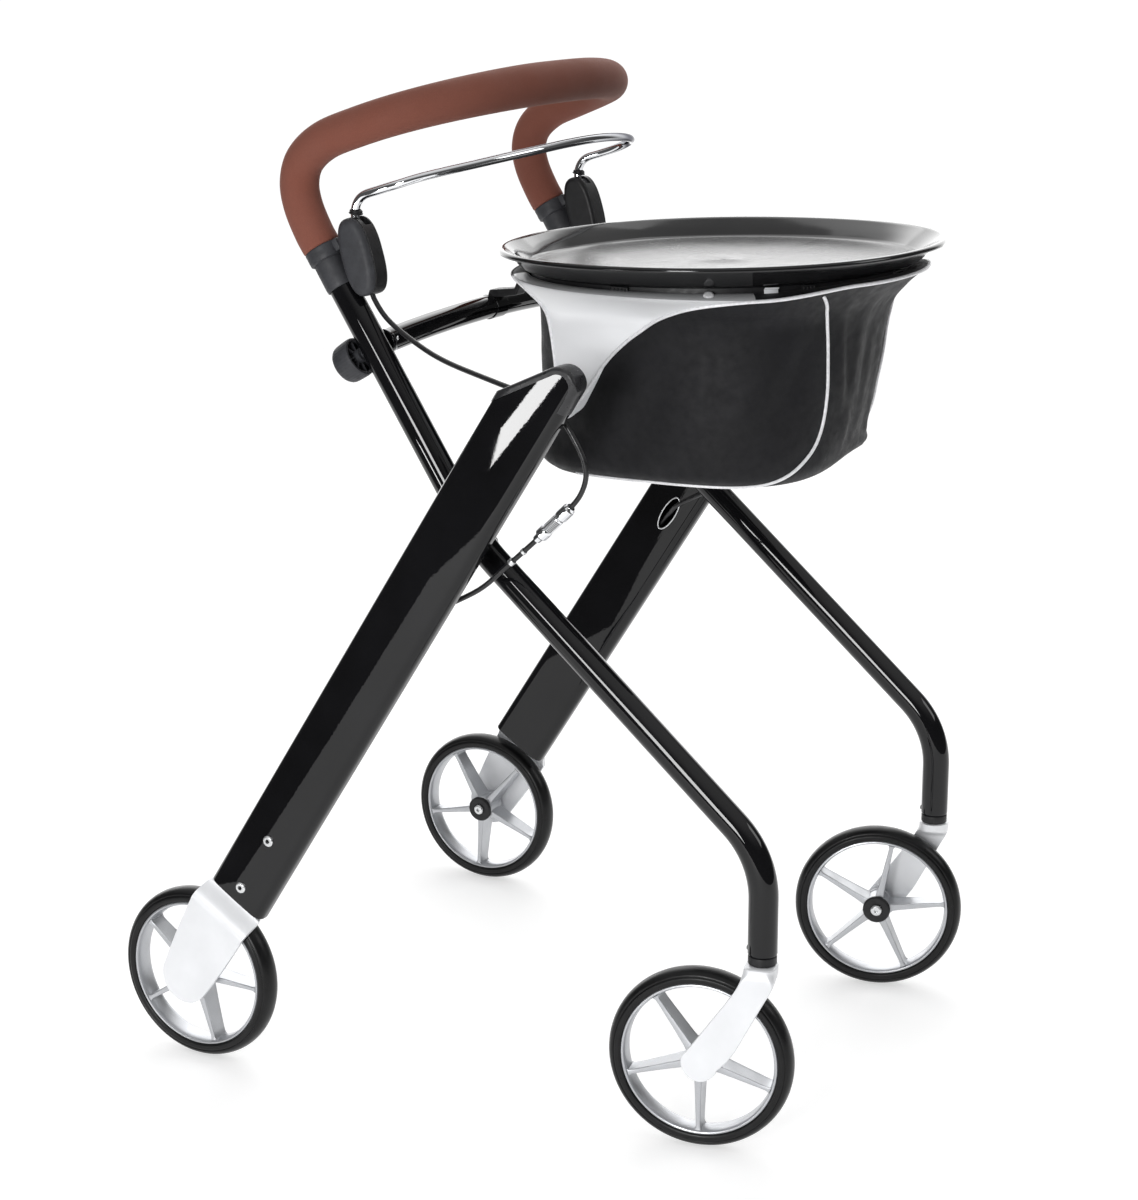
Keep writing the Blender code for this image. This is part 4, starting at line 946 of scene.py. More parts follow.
# end cap: a soft-edged strip over the leg's top
path = leg_top(0.0)
n_arc = len(path)
path += [Vector((LEG_W / 2 + 0.0006, z)) for z in (0.6590, 0.6540, 0.6480, 0.6440)]
cs = []
for x, h in fillet([(-0.0128, -STRIP), (-0.0128, 0.0), (0.0128, 0.0), (0.0128, -STRIP)], [0, 0.0046, 0.0046, 0], 8):
    cs.append((x, h))
cs = [(-0.0128, -STRIP)] + [c for c in cs if c[1] > -STRIP + 1e-6] + [(0.0128, -STRIP)]
loops = []
for i, p in enumerate(path):
    a, b = path[max(i - 1, 0)], path[min(i + 1, len(path) - 1)]
    t = (b - a).normalized()
    if i == 0:
        t = (path[1] - path[0]).normalized()
    nrm = Vector((-t.y, t.x))
    if nrm.y < 0 and i < 5:
        nrm = -nrm
    if i >= 1:
        c = Vector(NOSE_C)
        nrm = (p - c).normalized() if i < n_arc else Vector((1.0, 0.0))
    loop_ = []
    for x, h in cs:
        q = p + nrm * h
        g = leg(q.y, q.x)
        loop_.append(Vector((-LEG_X + x, g.x, g.y)))
    loops.append(loop_)
cap = loft("cap", loops)
clip_ = slab("clip", leg_section(LEG_W + 0.0008, LEG_T + 0.0014, 0.0100), LM, 0.45, 0.75)
cap = boolean(cap, clip_, "INTERSECT")
cap = bevelled(cap, 0.0004, 2, 55)
pair(cap, "leg_end_cap", "leg_*", ["leg_cap_*"], "matt_grey", [cap_black], weighted=True)

# rolled edge round the cable hole
pts = []
for i in range(48):
    a = 2 * PI * i / 48
    p = leg(0.3635 + 0.0218 * math.sin(a), 0.0050 + 0.0078 * math.cos(a))
    pts.append(Vector((-LEG_X + LEG_T / 2 - 0.0002, p.x, p.y)))
pair(sweep("g", pts, 0.0009, 12, closed=True), "cable_hole_edge", "leg_*", [], "steel", [steel])

# folding pivot
pv = turned("bolt", fillet([(0.0, 0.0), (0.0070, 0.0), (0.0084, 0.0010), (0.0084, 0.0036), (0.0070, 0.0046), (0.0043, 0.0046), (0.0043, 0.0800), (0.0, 0.0800)], 0.0006, 3),
            (-TUBE_X + TUBE_R + 0.0049, *mid), (-TUBE_X - 1, *mid), 40)
pair(pv, "pivot_screw", "frame", ["pivot_bolt_*"], "steel", [steel])
sp = turned("spacer", fillet([(0.0047, 0.0), (0.0120, 0.0), (0.0120, 0.0362), (0.0047, 0.0362)], 0.0008, 3, True), (-TUBE_X - TUBE_R + 0.0006, *mid), (-LEG_X, *mid), 56, closed=True)
pair(sp, "pivot_bush", "frame", ["pivot_spacer_*"], "matt_black", [black])

# ------------------------------------------------------------------ rear forks
ex, es, er = 0.0019, -0.1051, 0.0275
XI, XO, TH = -0.2928, -0.3085, 0.0042
stations = [(0.1180, -0.0262, 0.0262), (0.1165, -0.0262, 0.0262), (0.08, -0.0262, 0.0262), (0.04, -0.0262, 0.0262), (0.0040, -0.0262, 0.0262), (0.0000, -0.0262, 0.0262), (-0.0011, -0.0300, 0.0298), (-0.0016, -0.0334, 0.0331), (-0.0040, -0.0343, 0.0337), (-0.0070, -0.0349, 0.0340),
            (-0.0100, -0.0353, 0.0342), (-0.0130, -0.0357, 0.0343), (-0.0160, -0.0360, 0.0344), (-0.0190, -0.0362, 0.0344), (-0.0220, -0.0361, 0.0343), (-0.0250, -0.0357, 0.0341)]
a_l, a_r = (-0.0362, -0.018), (0.0345, -0.016)
pl = (ex + er * math.cos(math.radians(192)), es + er * math.sin(math.radians(192)))
pr = (ex + er * math.cos(math.radians(-10)), es + er * math.sin(math.radians(-10)))
for i in range(1, 15):
    s = lerp(-0.0250, -0.1040, i / 14)
    fl = (a_l[1] - s) / (a_l[1] - pl[1])
    fr = (a_r[1] - s) / (a_r[1] - pr[1])
    wl = lerp(a_l[0], pl[0], fl) - 0.0011 * math.sin(PI * min(1, fl))
    wr = lerp(a_r[0], pr[0], fr) + 0.0011 * math.sin(PI * min(1, fr))
    stations.append((s, wl, wr))
for i in range(1, 17):
    a = PI / 2 * i / 16 * 0.985
    stations.append((es - er * math.sin(a), ex - er * math.cos(a), ex + er * math.cos(a)))


def fork_x(s):
    return lerp(XI, XO, ease((-0.0015 - s) / 0.0215))


M_ = 13
outer_v, inner_v = [], []
for s, wl, wr in stations:
    ds = 0.0006
    slope = (fork_x(s + ds) - fork_x(s - ds)) / (2 * ds)
    nx, ns = 1.0 / math.hypot(1, slope), -slope / math.hypot(1, slope)
    for k in range(M_):
        w = lerp(wl, wr, k / (M_ - 1))
        g0 = leg(s, w)
        g1 = leg(s - ns * TH, w)
        inner_v.append(Vector((fork_x(s), g0.x, g0.y)))
        outer_v.append(Vector((fork_x(s) - nx * TH, g1.x, g1.y)))
nv = len(inner_v)
fv = inner_v + outer_v
ff = []
S_ = len(stations)
for i in range(S_ - 1):
    for k in range(M_ - 1):
        a, b, c, d = i * M_ + k, i * M_ + k + 1, (i + 1) * M_ + k + 1, (i + 1) * M_ + k
        ff.append((a, b, c, d))
        ff.append((nv + a, nv + d, nv + c, nv + b))
    for k in (0, M_ - 1):
        a, d = i * M_ + k, (i + 1) * M_ + k
        ff.append((a, d, nv + d, nv + a))
for i in (0, S_ - 1):
    for k in range(M_ - 1):
        a, b = i * M_ + k, i * M_ + k + 1
        ff.append((a, b, nv + b, nv + a))
fork = bevelled(tidy(raw("fork", fv, ff), 0), 0.0009, 3, 55)
boss = turned("boss", fillet([(0, 0), (0.0098, 0), (0.0085, 0.0030), (0, 0.0030)], 0.0008, 3), (XO - 0.0004, 0.0, R_WHEEL), (1, 0.0, R_WHEEL), 40)
pair(merge("fork", fork, boss), "rear_fork_plate", "leg_*", ["rear_fork_*"], "silver", [silver], weighted=True)

# screws with a hexagon recess
for tag, s in (("lower", 0.0175), ("upper", 0.0830)):
    fx = -LEG_X - LEG_T / 2
    scr = turned("screw", fillet([(0.0, -0.0021), (0.0046, -0.0021), (0.0056, -0.0012), (0.0058, 0.0002), (0.0026, 0.0002), (0.0026, 0.0080), (0.0, 0.0080)], [0, 0.0008, 0.0006, 0.0002, 0, 0, 0], 4), (fx, *leg(s)), (fx + 1, *leg(s)), 40)
    scr = cut(scr, rod("hex", (fx - 0.005, *leg(s)), (fx + 0.0004, *leg(s)), 0.0025, 6))
    pair(scr, "fork_bolt_" + tag, "leg_*", ["fork_screw_%s_*" % tag], "steel", [steel], weighted=True)

sh = block("shoe", (0, 0, 0), (0.0130, 0.0320, 0.0200), Matrix.Translation((-0.2848, *leg(0.0115))) @ Matrix.Rotation(PI / 2 - la, 4, "X"), 0.0008, 2)
sh = cut(sh, rod("c", (-0.32, 0.0, R_WHEEL), (-0.26, 0.0, R_WHEEL), R_WHEEL + 0.0152, 96))
pair(sh, "shoe_block", "shoe_*", ["brake_shoe_*"], "shoe_rubber", [shoe_rubber], weighted=True)

# ------------------------------------------------------------------ wheels
AX0, AX1 = Vector((0, 0, 0)), Vector((1, 0, 0))
rim_profile = [(0.0763, 0.0101), (0.0757, 0.0109), (0.0746, 0.0112), (0.0738, 0.0109), (0.0732, 0.0100), (0.0725, 0.0085), (0.0719, 0.0050), (0.0716, 0.0)]
rim_profile = rim_profile + [(r, -h) for r, h in rim_profile[-2::-1]]
ring = turned("rim", rim_profile, AX0, AX1, 128, closed=True)
hub = turned("hub", fillet([(0.0046, 0.0138), (0.0110, 0.0138), (0.0143, 0.0128), (0.0143, 0.0096), (0.0134, 0.0088), (0.0134, -0.0088), (0.0143, -0.0096), (0.0143, -0.0128), (0.0110, -0.0138), (0.0046, -0.0138)],
                           [0, 0.0006, 0.0012, 0.0006, 0.0010, 0.0010, 0.0006, 0.0012, 0.0006, 0], 3), AX0, AX1, 64, closed=True)
parts = [ring, hub]
SPOKE = [(0.0118, 0.0056, 0.0128), (0.0140, 0.0049, 0.0126), (0.0165, 0.0044, 0.0123), (0.0200, 0.0041, 0.0120), (0.0260, 0.0038, 0.0116), (0.0400, 0.0033, 0.0108), (0.0550, 0.0028, 0.0101),
         (0.0640, 0.0025, 0.0097), (0.0690, 0.0025, 0.0097), (0.0710, 0.0030, 0.0099), (0.0726, 0.0040, 0.0100)]
for i in range(5):
    a = 2 * PI * i / 5
    d = Vector((0, 0, 1)) * math.cos(a) + Vector((0, -1, 0)) * math.sin(a)
    t = Vector((1, 0, 0)).cross(d)
    loops = []
    for r, th, dp in SPOKE:
        loop_ = []
        for x, h in fillet([(-dp, -th), (-dp * 0.74, -th * 0.80), (dp * 0.74, -th * 0.80), (dp, -th), (dp, th), (dp * 0.74, th * 0.80), (-dp * 0.74, th * 0.80), (-dp, th)], [th * 0.8, 0.0008, 0.0008, th * 0.8, th * 0.8, 0.0008, 0.0008, th * 0.8], 3, True):
            loop_.append(d * r + Vector((1, 0, 0)) * x + t * h)
        loops.append(loop_)
    parts.append(loft("spoke", loops))
RIM = merge("rim_master", *parts)
HALF_T = [(0.0764, 0.0098), (0.0768, 0.0110), (0.0776, 0.0117), (0.0790, 0.0120), (0.0812, 0.0120), (0.0826, 0.0117), (0.0830, 0.0111), (0.0834, 0.0109), (0.0838, 0.0113), (0.0846, 0.0112), (0.0862, 0.0102), (0.0876, 0.0086), (0.0888, 0.0064), (0.0896, 0.0036), (0.0899, 0.0012)]
tp = [(r, h) for r, h in HALF_T] + [(r, -h) for r, h in HALF_T[::-1]]
TYRE = turned("tyre_master", tp, AX0, AX1, 160, closed=True)
CAP = turned("cap_master", fillet([(0.0046, 0.0139), (0.0148, 0.0139), (0.0148, 0.0160), (0.0132, 0.0180), (0.0075, 0.0176), (0.0046, 0.0170)], [0, 0.0004, 0.0008, 0.0014, 0.001, 0.0003], 4), AX0, AX1, 64, closed=True)


def axle(face):
    ax = turned("axle", fillet([(0.0, 0.0208), (0.0044, 0.0206), (0.0058, 0.0196), (0.0061, 0.0178), (0.0041, 0.0176), (0.0041, -face), (0.0, -face)], [0, 0.0009, 0.0010, 0.0003, 0, 0, 0], 4), AX0, AX1, 40)
    return cut(ax, rod("hex", (0.0184, 0, 0), (0.0230, 0, 0), 0.0025, 6))


AXLES = {"rear": axle(0.0204), "front": axle(0.0176)}
LOOK_OUT = {"rear": ("leg_%s", "rear_wheel_%s"), "front": ("caster_%s", "front_wheel_%s")}


def wheel(end, s, centre, heading):
    sgn = -1 if s == "right" else 1
    tag = end + "_" + s
    c = Matrix.Translation(centre) @ Matrix.Rotation(heading, 4, "Z")
    turn = c @ Matrix.Rotation(math.radians(PHASE[tag]), 4, "X")
    inward = c @ Matrix.Rotation(0.0 if sgn < 0 else PI, 4, "Z")
    hold, roll = (b % s for b in LOOK_OUT[end])
    dress(copied(RIM, "w", turn), "wheel_%s" % tag, roll, ["rim_" + tag], "wheel_silver", [wheel_paint])
    dress(copied(TYRE, "t", turn), "rubber_%s" % tag, roll, ["tyre_" + tag], "tyre_rubber", [rubber], angle=60)
    dress(copied(CAP, "c", inward), "hub_disc_%s" % tag, hold, ["hub_cap_" + tag], "satin_black", [black])
    dress(copied(AXLES[end], "a", inward), "axle_screw_%s" % tag, hold, ["axle_" + tag], "steel", [steel], weighted=True)


for s, sgn in (("right", -1), ("left", 1)):
    wheel("rear", s, (sgn * REAR_X, 0.0, R_WHEEL), 0.0)

# ------------------------------------------------------------------ front casters
OUT_L = [(-0.0150, 0.1905), (-0.0151, 0.1840), (-0.0146, 0.1760), (-0.0128, 0.1700), (-0.0075, 0.1610), (0.0205, 0.1060), (0.0300, 0.0925), (0.0378, 0.0850)]
OUT_R = [(0.0150, 0.1905), (0.0158, 0.1800), (0.0200, 0.1700), (0.0290, 0.1560), (0.0640, 0.1060), (0.0690, 0.1000), (0.0714, 0.0955)]


def edge_at(line_, z):
    for (b0_, z0), (b1_, z1) in zip(line_, line_[1:]):
        if z <= z0 and z >= z1:
            return lerp(b0_, b1_, (z0 - z) / (z0 - z1))
    return line_[-1][0] if z < line_[-1][1] else line_[0][0]


def soft_edge(line_, z, w=0.005):
    return sum(edge_at(line_, z + d * w) for d in (-1, -0.5, 0, 0.5, 1)) / 5


def caster(s):
    sgn = -1 if s == "right" else 1
    a = math.radians(SWIVEL[s])
    nrm = Vector((math.cos(a), math.sin(a), 0)) * sgn
    backv = Vector((-math.sin(a), math.cos(a), 0))
    stem = Vector((sgn * TUBE_X, STEM_Y, 0))
    zz = Vector((0, 0, 1))
    cen, er_ = (0.0549, R_WHEEL), 0.0178

    def section(z, b0_, b1_, outer, base, depth, rr):
        """Rounded outer half, and an inner half that goes from a half circle to a flat."""
        hw, cb = (b1_ - b0_) / 2, (b1_ + b0_) / 2
        rr = min(rr, hw * 0.95, (outer - base) * 0.9)
        pts_ = []
        for i in range(3):
            pts_.append((hw, lerp(base, outer - rr, i / 3)))
        for i in range(9):
            t = PI / 2 * i / 8
            pts_.append((hw - rr + rr * math.cos(t), outer - rr + rr * math.sin(t)))
        for i in range(1, 8):
            pts_.append((lerp(hw - rr, -hw + rr, i / 8), outer))
        for i in range(9):
            t = PI / 2 + PI / 2 * i / 8
            pts_.append((-hw + rr + rr * math.cos(t), outer - rr + rr * math.sin(t)))
        for i in range(1, 4):
            pts_.append((-hw, lerp(outer - rr, base, i / 3)))
        for i in range(1, 24):
            t = PI * i / 24
            pts_.append((-hw * math.cos(t), base - depth * math.sin(t)))
        return [stem + backv * (cb + b_) + nrm * n_ + zz * z for b_, n_ in pts_]

    loops = []
    levels = [0.1903, 0.1900, 0.1894, 0.1870, 0.1845, 0.1825, 0.1810, 0.1795, 0.1780, 0.1765, 0.1750, 0.1735, 0.1720, 0.1700, 0.1670, 0.1640, 0.1600, 0.1550, 0.1500, 0.1440, 0.1380, 0.1320, 0.1260, 0.1200, 0.1150, 0.1110, 0.1080, 0.1050, 0.1020, 0.0995, 0.0970, 0.0950, 0.0930, 0.0910, 0.0890, 0.0870, 0.0850]
    for z in levels:
        t = ease((0.1835 - z) / 0.0135)
        b0_ = edge_at(OUT_L, z) if z < 0.090 else soft_edge(OUT_L, z)
        b1_ = soft_edge(OUT_R, z) if z > 0.0975 else cen[0] + math.sqrt(max(0.0, er_ ** 2 - (z - cen[1]) ** 2))
        rim = 0.0012 * (1 - ease((0.1903 - z) / 0.0009))
        loops.append(section(z, b0_ + rim, b1_ - rim, lerp(0.0186, 0.0200, ease((0.1890 - z) / 0.010)) - rim, lerp(0.0, 0.0158, t), (0.0150 - rim) * (1 - t), lerp(0.0085, 0.0012, ease((0.1885 - z) / 0.013))))
    z0 = levels[-1]
    a0_ = math.asin((z0 - cen[1]) / er_)
    for i in range(1, 15):
        t = lerp(a0_, -PI / 2, i / 14 * 0.985)
        zt = cen[1] + er_ * math.sin(t)
        w = er_ * math.cos(t)
        left = cen[0] - w
        if i < 3:
            left = lerp(edge_at(OUT_L, z0), left, i / 3)
        loops.append(section(zt, left, cen[0] + w, 0.0200, 0.0158, 0.0, 0.0012))
    body = loft("fork", loops)
    pin = turned("pin", [(0.0, 0.0), (0.0070, 0.0), (0.0070, 0.0150), (0.0060, 0.0158), (0.0, 0.0158)], stem + zz * 0.1830, stem + zz, 32)
    lip = turned("lip", fillet([(0.0120, 0.0), (0.0152, 0.0), (0.0152, 0.0016), (0.0120, 0.0016)], 0.0006, 4, True), stem + zz * 0.1886, stem + zz, 72, closed=True)
    boss_ = turned("boss", fillet([(0, 0), (0.0100, 0), (0.0090, 0.0020), (0, 0.0020)], 0.0006, 3), stem + backv * TRAIL + zz * R_WHEEL + nrm * 0.0160, stem + backv * TRAIL + zz * R_WHEEL - nrm, 40)
    dress(merge("fork", body, pin, lip, boss_), "caster_arm_" + s, "caster_" + s, ["caster_fork_" + s], "silver", [silver], angle=50)
    wheel("front", s, stem + backv * TRAIL + zz * R_WHEEL, a)


for s in ("right", "left"):
    caster(s)
for o in (RIM, TYRE, CAP, *AXLES.values()):
    bpy.data.objects.remove(o, do_unlink=True)

# ------------------------------------------------------------------ brake cables
foot = POD_C - pod_u * 0.0290
CAB = [(-0.2220, *foot), (-0.2225, *(POD_C - pod_u * 0.0420)), (-0.2270, -0.2010, 0.7640), (-0.2350, -0.2370, 0.7455), (-0.2440, -0.2740, 0.7330),
       (-0.2570, -0.3330, 0.7210), (-0.2660, -0.3780, 0.7120), (-0.2685, -0.4070, 0.6960), (-0.2680, -0.4230, 0.6750), (-0.2665, -0.4320, 0.6530),
       (-0.2650, -0.4290, 0.6330), (-0.2640, -0.4150, 0.6130), (-0.2630, -0.3790, 0.5790), (-0.2630, -0.3470, 0.5500), (-0.2640, -0.3170, 0.5240),
       (-0.2680, *(leg(0.385, 0.012))), (-0.2755, *(leg(0.366, 0.006))), (-0.2810, *(leg(0.345, 0.002))), (-0.2810, *leg(0.30)), (-0.2810, *leg(0.12)), (-0.2810, *leg(0.0235))]
STEP = 8
run = spline(CAB, STEP)
for s in ("right", "left"):
    flip = Matrix.Identity(4) if s == "right" else MIRROR

    def at(p):
        return REAL @ (flip @ Vector(p))

    a = copied(sweep("c", run[:5 * STEP + 1], CABLE_R, 20), "x", flip, s == "left")
    dress(a, "cable_upper_" + s, ("handlebar", "frame", at(CAB[1]), at(CAB[5])), [], "satin_black", [sheath])
    low_part = sweep("c", run[5 * STEP:], CABLE_R, 20)
    extra = []
    for i, ln, rr in ((13 * STEP - 2, 0.0050, 0.0036), (12 * STEP + 3, 0.0030, 0.0034)):
        p, q = run[i], run[i + 1]
        extra.append(shade(turned("f", fillet([(CABLE_R, 0), (rr, 0), (rr, ln), (CABLE_R, ln)], 0.0005, 3, True), p, q, 20, closed=True), 1))
    a = copied(merge("c", low_part, *extra), "x", flip, s == "left")
    dress(a, "cable_lower_" + s, ("frame", "leg_" + s, at(CAB[12]), at(leg_pt := (-0.2680, *leg(0.385, 0.012)))), ["brake_cable_" + s], "satin_black", [sheath, steel])
for o in [o for o in bpy.data.objects if o.name.startswith(("c.", "c")) and o.name.split(".")[0] == "c" and o.parent is None and o.type == "MESH"]:
    bpy.data.objects.remove(o, do_unlink=True)

a0, a1 = Vector(CAB[11]), Vector(CAB[12])
prof = [(CABLE_R + 0.0002, -0.0015), (0.0040, -0.0015), (0.0048, 0.0004), (0.0060, 0.0014), (0.0064, 0.0030), (0.0064, 0.0135), (0.0052, 0.0148), (0.0050, 0.0160), (0.0056, 0.0170)]
x = 0.0170
while x < 0.0330:
    prof += [(0.0056, x + 0.0004), (0.0050, x + 0.0010), (0.0056, x + 0.0016)]
    x += 0.0018
prof += [(0.0062, 0.0345), (0.0066, 0.0355), (0.0066, 0.0420), (0.0054, 0.0432), (0.0044, 0.0440), (0.0040, 0.0490), (CABLE_R + 0.0002, 0.0492)]
adj = turned("adj", prof, a0, a1, 48, closed=True, mod=lambda a, r, h: -0.00035 * (0.5 - 0.5 * math.cos(12 * a)) if r > 0.0062 else 0.0)
pair(adj, "cable_barrel", "frame", ["cable_adjuster_*"], "silver", [chrome])


# ------------------------------------------------------------------ tray
def oval_r(phi, ax, ay, e):
    q = 2.0 / e
    return ((abs(math.cos(phi)) / ax) ** q + (abs(math.sin(phi)) / ay) ** q) ** (-1.0 / q)


def oval_rings(name, rings, cy, n=192, tilt=0.0, mats=None, closed=False):
    verts, rows, faces, mi = [], [], [], []
    for ax, ay, z, e in rings:
        if ax < 1e-9:
            rows.append([len(verts)])
            verts.append(Vector((0, cy, z)))
            continue
        row = []
        for k in range(n):
            ph = 2 * PI * k / n
            r = oval_r(ph, ax, ay, e)
            row.append(len(verts))
            verts.append(Vector((r * math.cos(ph), cy + r * math.sin(ph), z + tilt * r * math.sin(ph))))
        rows.append(row)
    seq = list(zip(rows, rows[1:])) + ([(rows[-1], rows[0])] if closed else [])
    for i, (a, b) in enumerate(seq):
        for k in range(n):
            l = (k + 1) % n
            if len(a) == 1:
                faces.append((a[0], b[k], b[l]))
            elif len(b) == 1:
                faces.append((a[k], a[l], b[0]))
            else:
                faces.append((a[k], a[l], b[l], b[k]))
            mi.append(mats[i] if mats else 0)
    ob = raw(name, verts, faces)
    for p, m in zip(ob.data.polygons, mi):
        p.material_index = m
    bm = bmesh.new()
    bm.from_mesh(ob.data)
    if bm.calc_volume(signed=True) < 0:
        bmesh.ops.reverse_faces(bm, faces=bm.faces)
    bm.to_mesh(ob.data)
    bm.free()
    return ob


FL = TRAY_Z - 0.0185
E_ = 0.93
TR = [(0, 0, FL + 0.0002, 1.0), (0.0022, 0.0022, FL + 0.0002, 1.0), (0.0030, 0.0030, FL - 0.0002, 1.0), (0.0040, 0.0040, FL, 1.0), (0.05, 0.0465, FL, 0.97), (0.10, 0.093, FL, 0.95), (0.15, 0.1395, FL, E_), (0.1860, 0.1724, FL, E_), (0.1925, 0.1788, FL + 0.0001, E_), (0.1958, 0.1821, FL + 0.0006, E_), (0.1982, 0.1845, FL + 0.0017, E_), (0.2003, 0.1866, FL + 0.0034, E_),
      (0.2050, 0.1912, FL + 0.0078, E_), (0.2110, 0.1972, FL + 0.0124, E_), (0.2172, 0.2034, TRAY_Z - 0.0016, E_), (0.2188, 0.2050, TRAY_Z - 0.0005, E_), (0.2203, 0.2065, TRAY_Z + 0.0001, E_), (0.2220, 0.2082, TRAY_Z + 0.0001, E_), (0.2234, 0.2096, TRAY_Z - 0.0006, E_), (0.2242, 0.2104, TRAY_Z - 0.0020, E_), (0.2243, 0.2105, TRAY_Z - 0.0034, E_),
      (0.2237, 0.2099, TRAY_Z - 0.0044, E_), (0.2226, 0.2088, TRAY_Z - 0.0046, E_), (0.2214, 0.2076, TRAY_Z - 0.0040, E_), (0.2198, 0.2060, TRAY_Z - 0.0034, E_), (0.2134, 0.1996, FL + 0.0104, E_), (0.2072, 0.1934, FL + 0.0052, E_), (0.2024, 0.1887, FL + 0.0008, E_), (0.2000, 0.1863, FL - 0.0010, E_), (0.1972, 0.1835, FL - 0.0020, E_), (0.1935, 0.1798, FL - 0.0024, E_), (0.10, 0.093, FL - 0.0024, E_), (0, 0, FL - 0.0024, 1.0)]
tm = [1 if i < 10 else 0 for i in range(len(TR) - 1)]
dress(oval_rings("dish", TR, TRAY_Y, 224, TILT, tm), "tray_dish", "tray", ["tray"], "satin_black", [tray_wall, tray_floor], angle=50)

# holder ring with its lugs, and the bracket to the crossbar
RT = FL - 0.0024 - 0.0004
rr_ = [(0.1850, 0.1715), (0.1925, 0.1790)]
sec = fillet([(0.1850, RT - 0.0110), (0.1925, RT - 0.0110), (0.1925, RT), (0.1850, RT)], 0.0012, 3, True)
parts = [oval_rings("r", [(r, r - 0.0135, z, E_) for r, z in sec], TRAY_Y, 192, TILT, None, True)]


def ring_point(phi, grow):
    r = oval_r(phi, 0.1925 + grow, 0.1790 + grow, E_)
    return Vector((r * math.cos(phi), TRAY_Y + r * math.sin(phi), 0)), TILT * r * math.sin(phi)


for deg, wd, n_ in ((176, 0.020, 5), (4, 0.020, 5), (229, 0.014, 4), (311, 0.014, 4), (122, 0.016, 4), (58, 0.016, 4), (270, 0.018, 5)):
    ph = math.radians(deg)
    p, dz = ring_point(ph, 0.0012)
    M = Matrix.Translation((p.x, p.y, RT - 0.0058 + dz)) @ Matrix.Rotation(ph, 4, "Z")
    parts.append(block("lug", (0, 0, 0), (0.0044, wd, 0.0104), M, 0.0008, 2))
    for j in range(n_):
        o = (j - (n_ - 1) / 2) * wd / n_
        parts.append(block("rib", (0.0024, o, -0.0004), (0.0016, wd / n_ * 0.36, 0.0088), M, 0.0003, 1))
ty = TRAY_Y + 0.1790
bt = RT + TILT * 0.1790 - 0.0002
bl = [(ty - 0.0010, bt - 0.0034), (ty - 0.0010, bt - 0.0006), (-0.2280, bt - 0.0014), (-0.2130, CROSS[1] + CROSS_R + 0.0150), (CROSS[0] - 0.0010, CROSS[1] + CROSS_R + 0.0118), (CROSS[0] + 0.0010, CROSS[1] + CROSS_R + 0.0050),
      (CROSS[0] - 0.0070, CROSS[1] + CROSS_R + 0.0040), (-0.2150, CROSS[1] + CROSS_R + 0.0080), (-0.2340, bt - 0.0042)]
ringob = merge("r", *parts)
dress(ringob, "bag_ring", "frame", ["holder_ring"], "matt_black", [black], weighted=True)
arm = bevelled(slab("b", bl, X_UP, -0.0095, 0.0095), 0.0012, 3, 30)
sadl = turned("s", fillet([(CROSS_R + 0.0001, -0.0110), (CROSS_R + 0.0008, -0.0110), (CROSS_R + 0.0008, 0.0110), (CROSS_R + 0.0001, 0.0110)], 0.0003, 3, True), (0, CROSS[0], cross_z(0) - 0.0004), (1, CROSS[0], cross_z(0) - 0.0004), 64, closed=True)
dress(merge("b", arm, shade(sadl, 1)), "ring_arm", "frame", ["ring_bracket"], "matt_black", [black, paint], weighted=True)

# small steel clip on the ring
ph = math.radians(218)
p, dz = ring_point(ph, 0.0030)
M = Matrix.Translation((p.x, p.y, RT - 0.0052 + dz)) @ Matrix.Rotation(ph, 4, "Z") @ Matrix.Rotation(math.radians(-18), 4, "Y")
c1 = block("c", (0, 0, 0), (0.0012, 0.0130, 0.0060), M, 0.0004, 2)
c2 = block("c", (0.0020, 0, 0.0030), (0.0060, 0.0130, 0.0012), M, 0.0004, 2)
dress(merge("c", c1, c2), "ring_clip", "frame", [], "steel", [silver])

# ------------------------------------------------------------------ bag
BY = TRAY_Y + 0.002
BAGR = [(0.2080, 0.1960, 0.8000, 0.93), (0.2055, 0.1925, 0.7965, 0.92), (0.1900, 0.1770, 0.7850, 0.86), (0.1765, 0.1640, 0.7720, 0.80), (0.1720, 0.1590, 0.7500, 0.74),
        (0.1690, 0.1555, 0.7000, 0.70), (0.1630, 0.1500, 0.6500, 0.70), (0.1565, 0.1445, 0.6265, 0.70), (0.1445, 0.1345, 0.6168, 0.71)]


def bag_ring(p):
    """Half widths, height and roundness at a place down the bag's wall, 0 at the brim, 8 at the foot."""
    i = max(0, min(7, int(p)))
    t = p - i
    g = [BAGR[max(0, min(8, i + k))] for k in (-1, 0, 1, 2)]
    return tuple(0.5 * (2 * b + (c - a) * t + (2 * a - 5 * b + 4 * c - d) * t * t + (3 * b - a - 3 * c + d) * t ** 3) for a, b, c, d in zip(*g))


def place_of(z):
    lo_, hi_ = 0.0, 8.0
    for _ in range(40):
        m_ = (lo_ + hi_) / 2
        if bag_ring(m_)[2] > z:
            lo_ = m_
        else:
            hi_ = m_
    return lo_


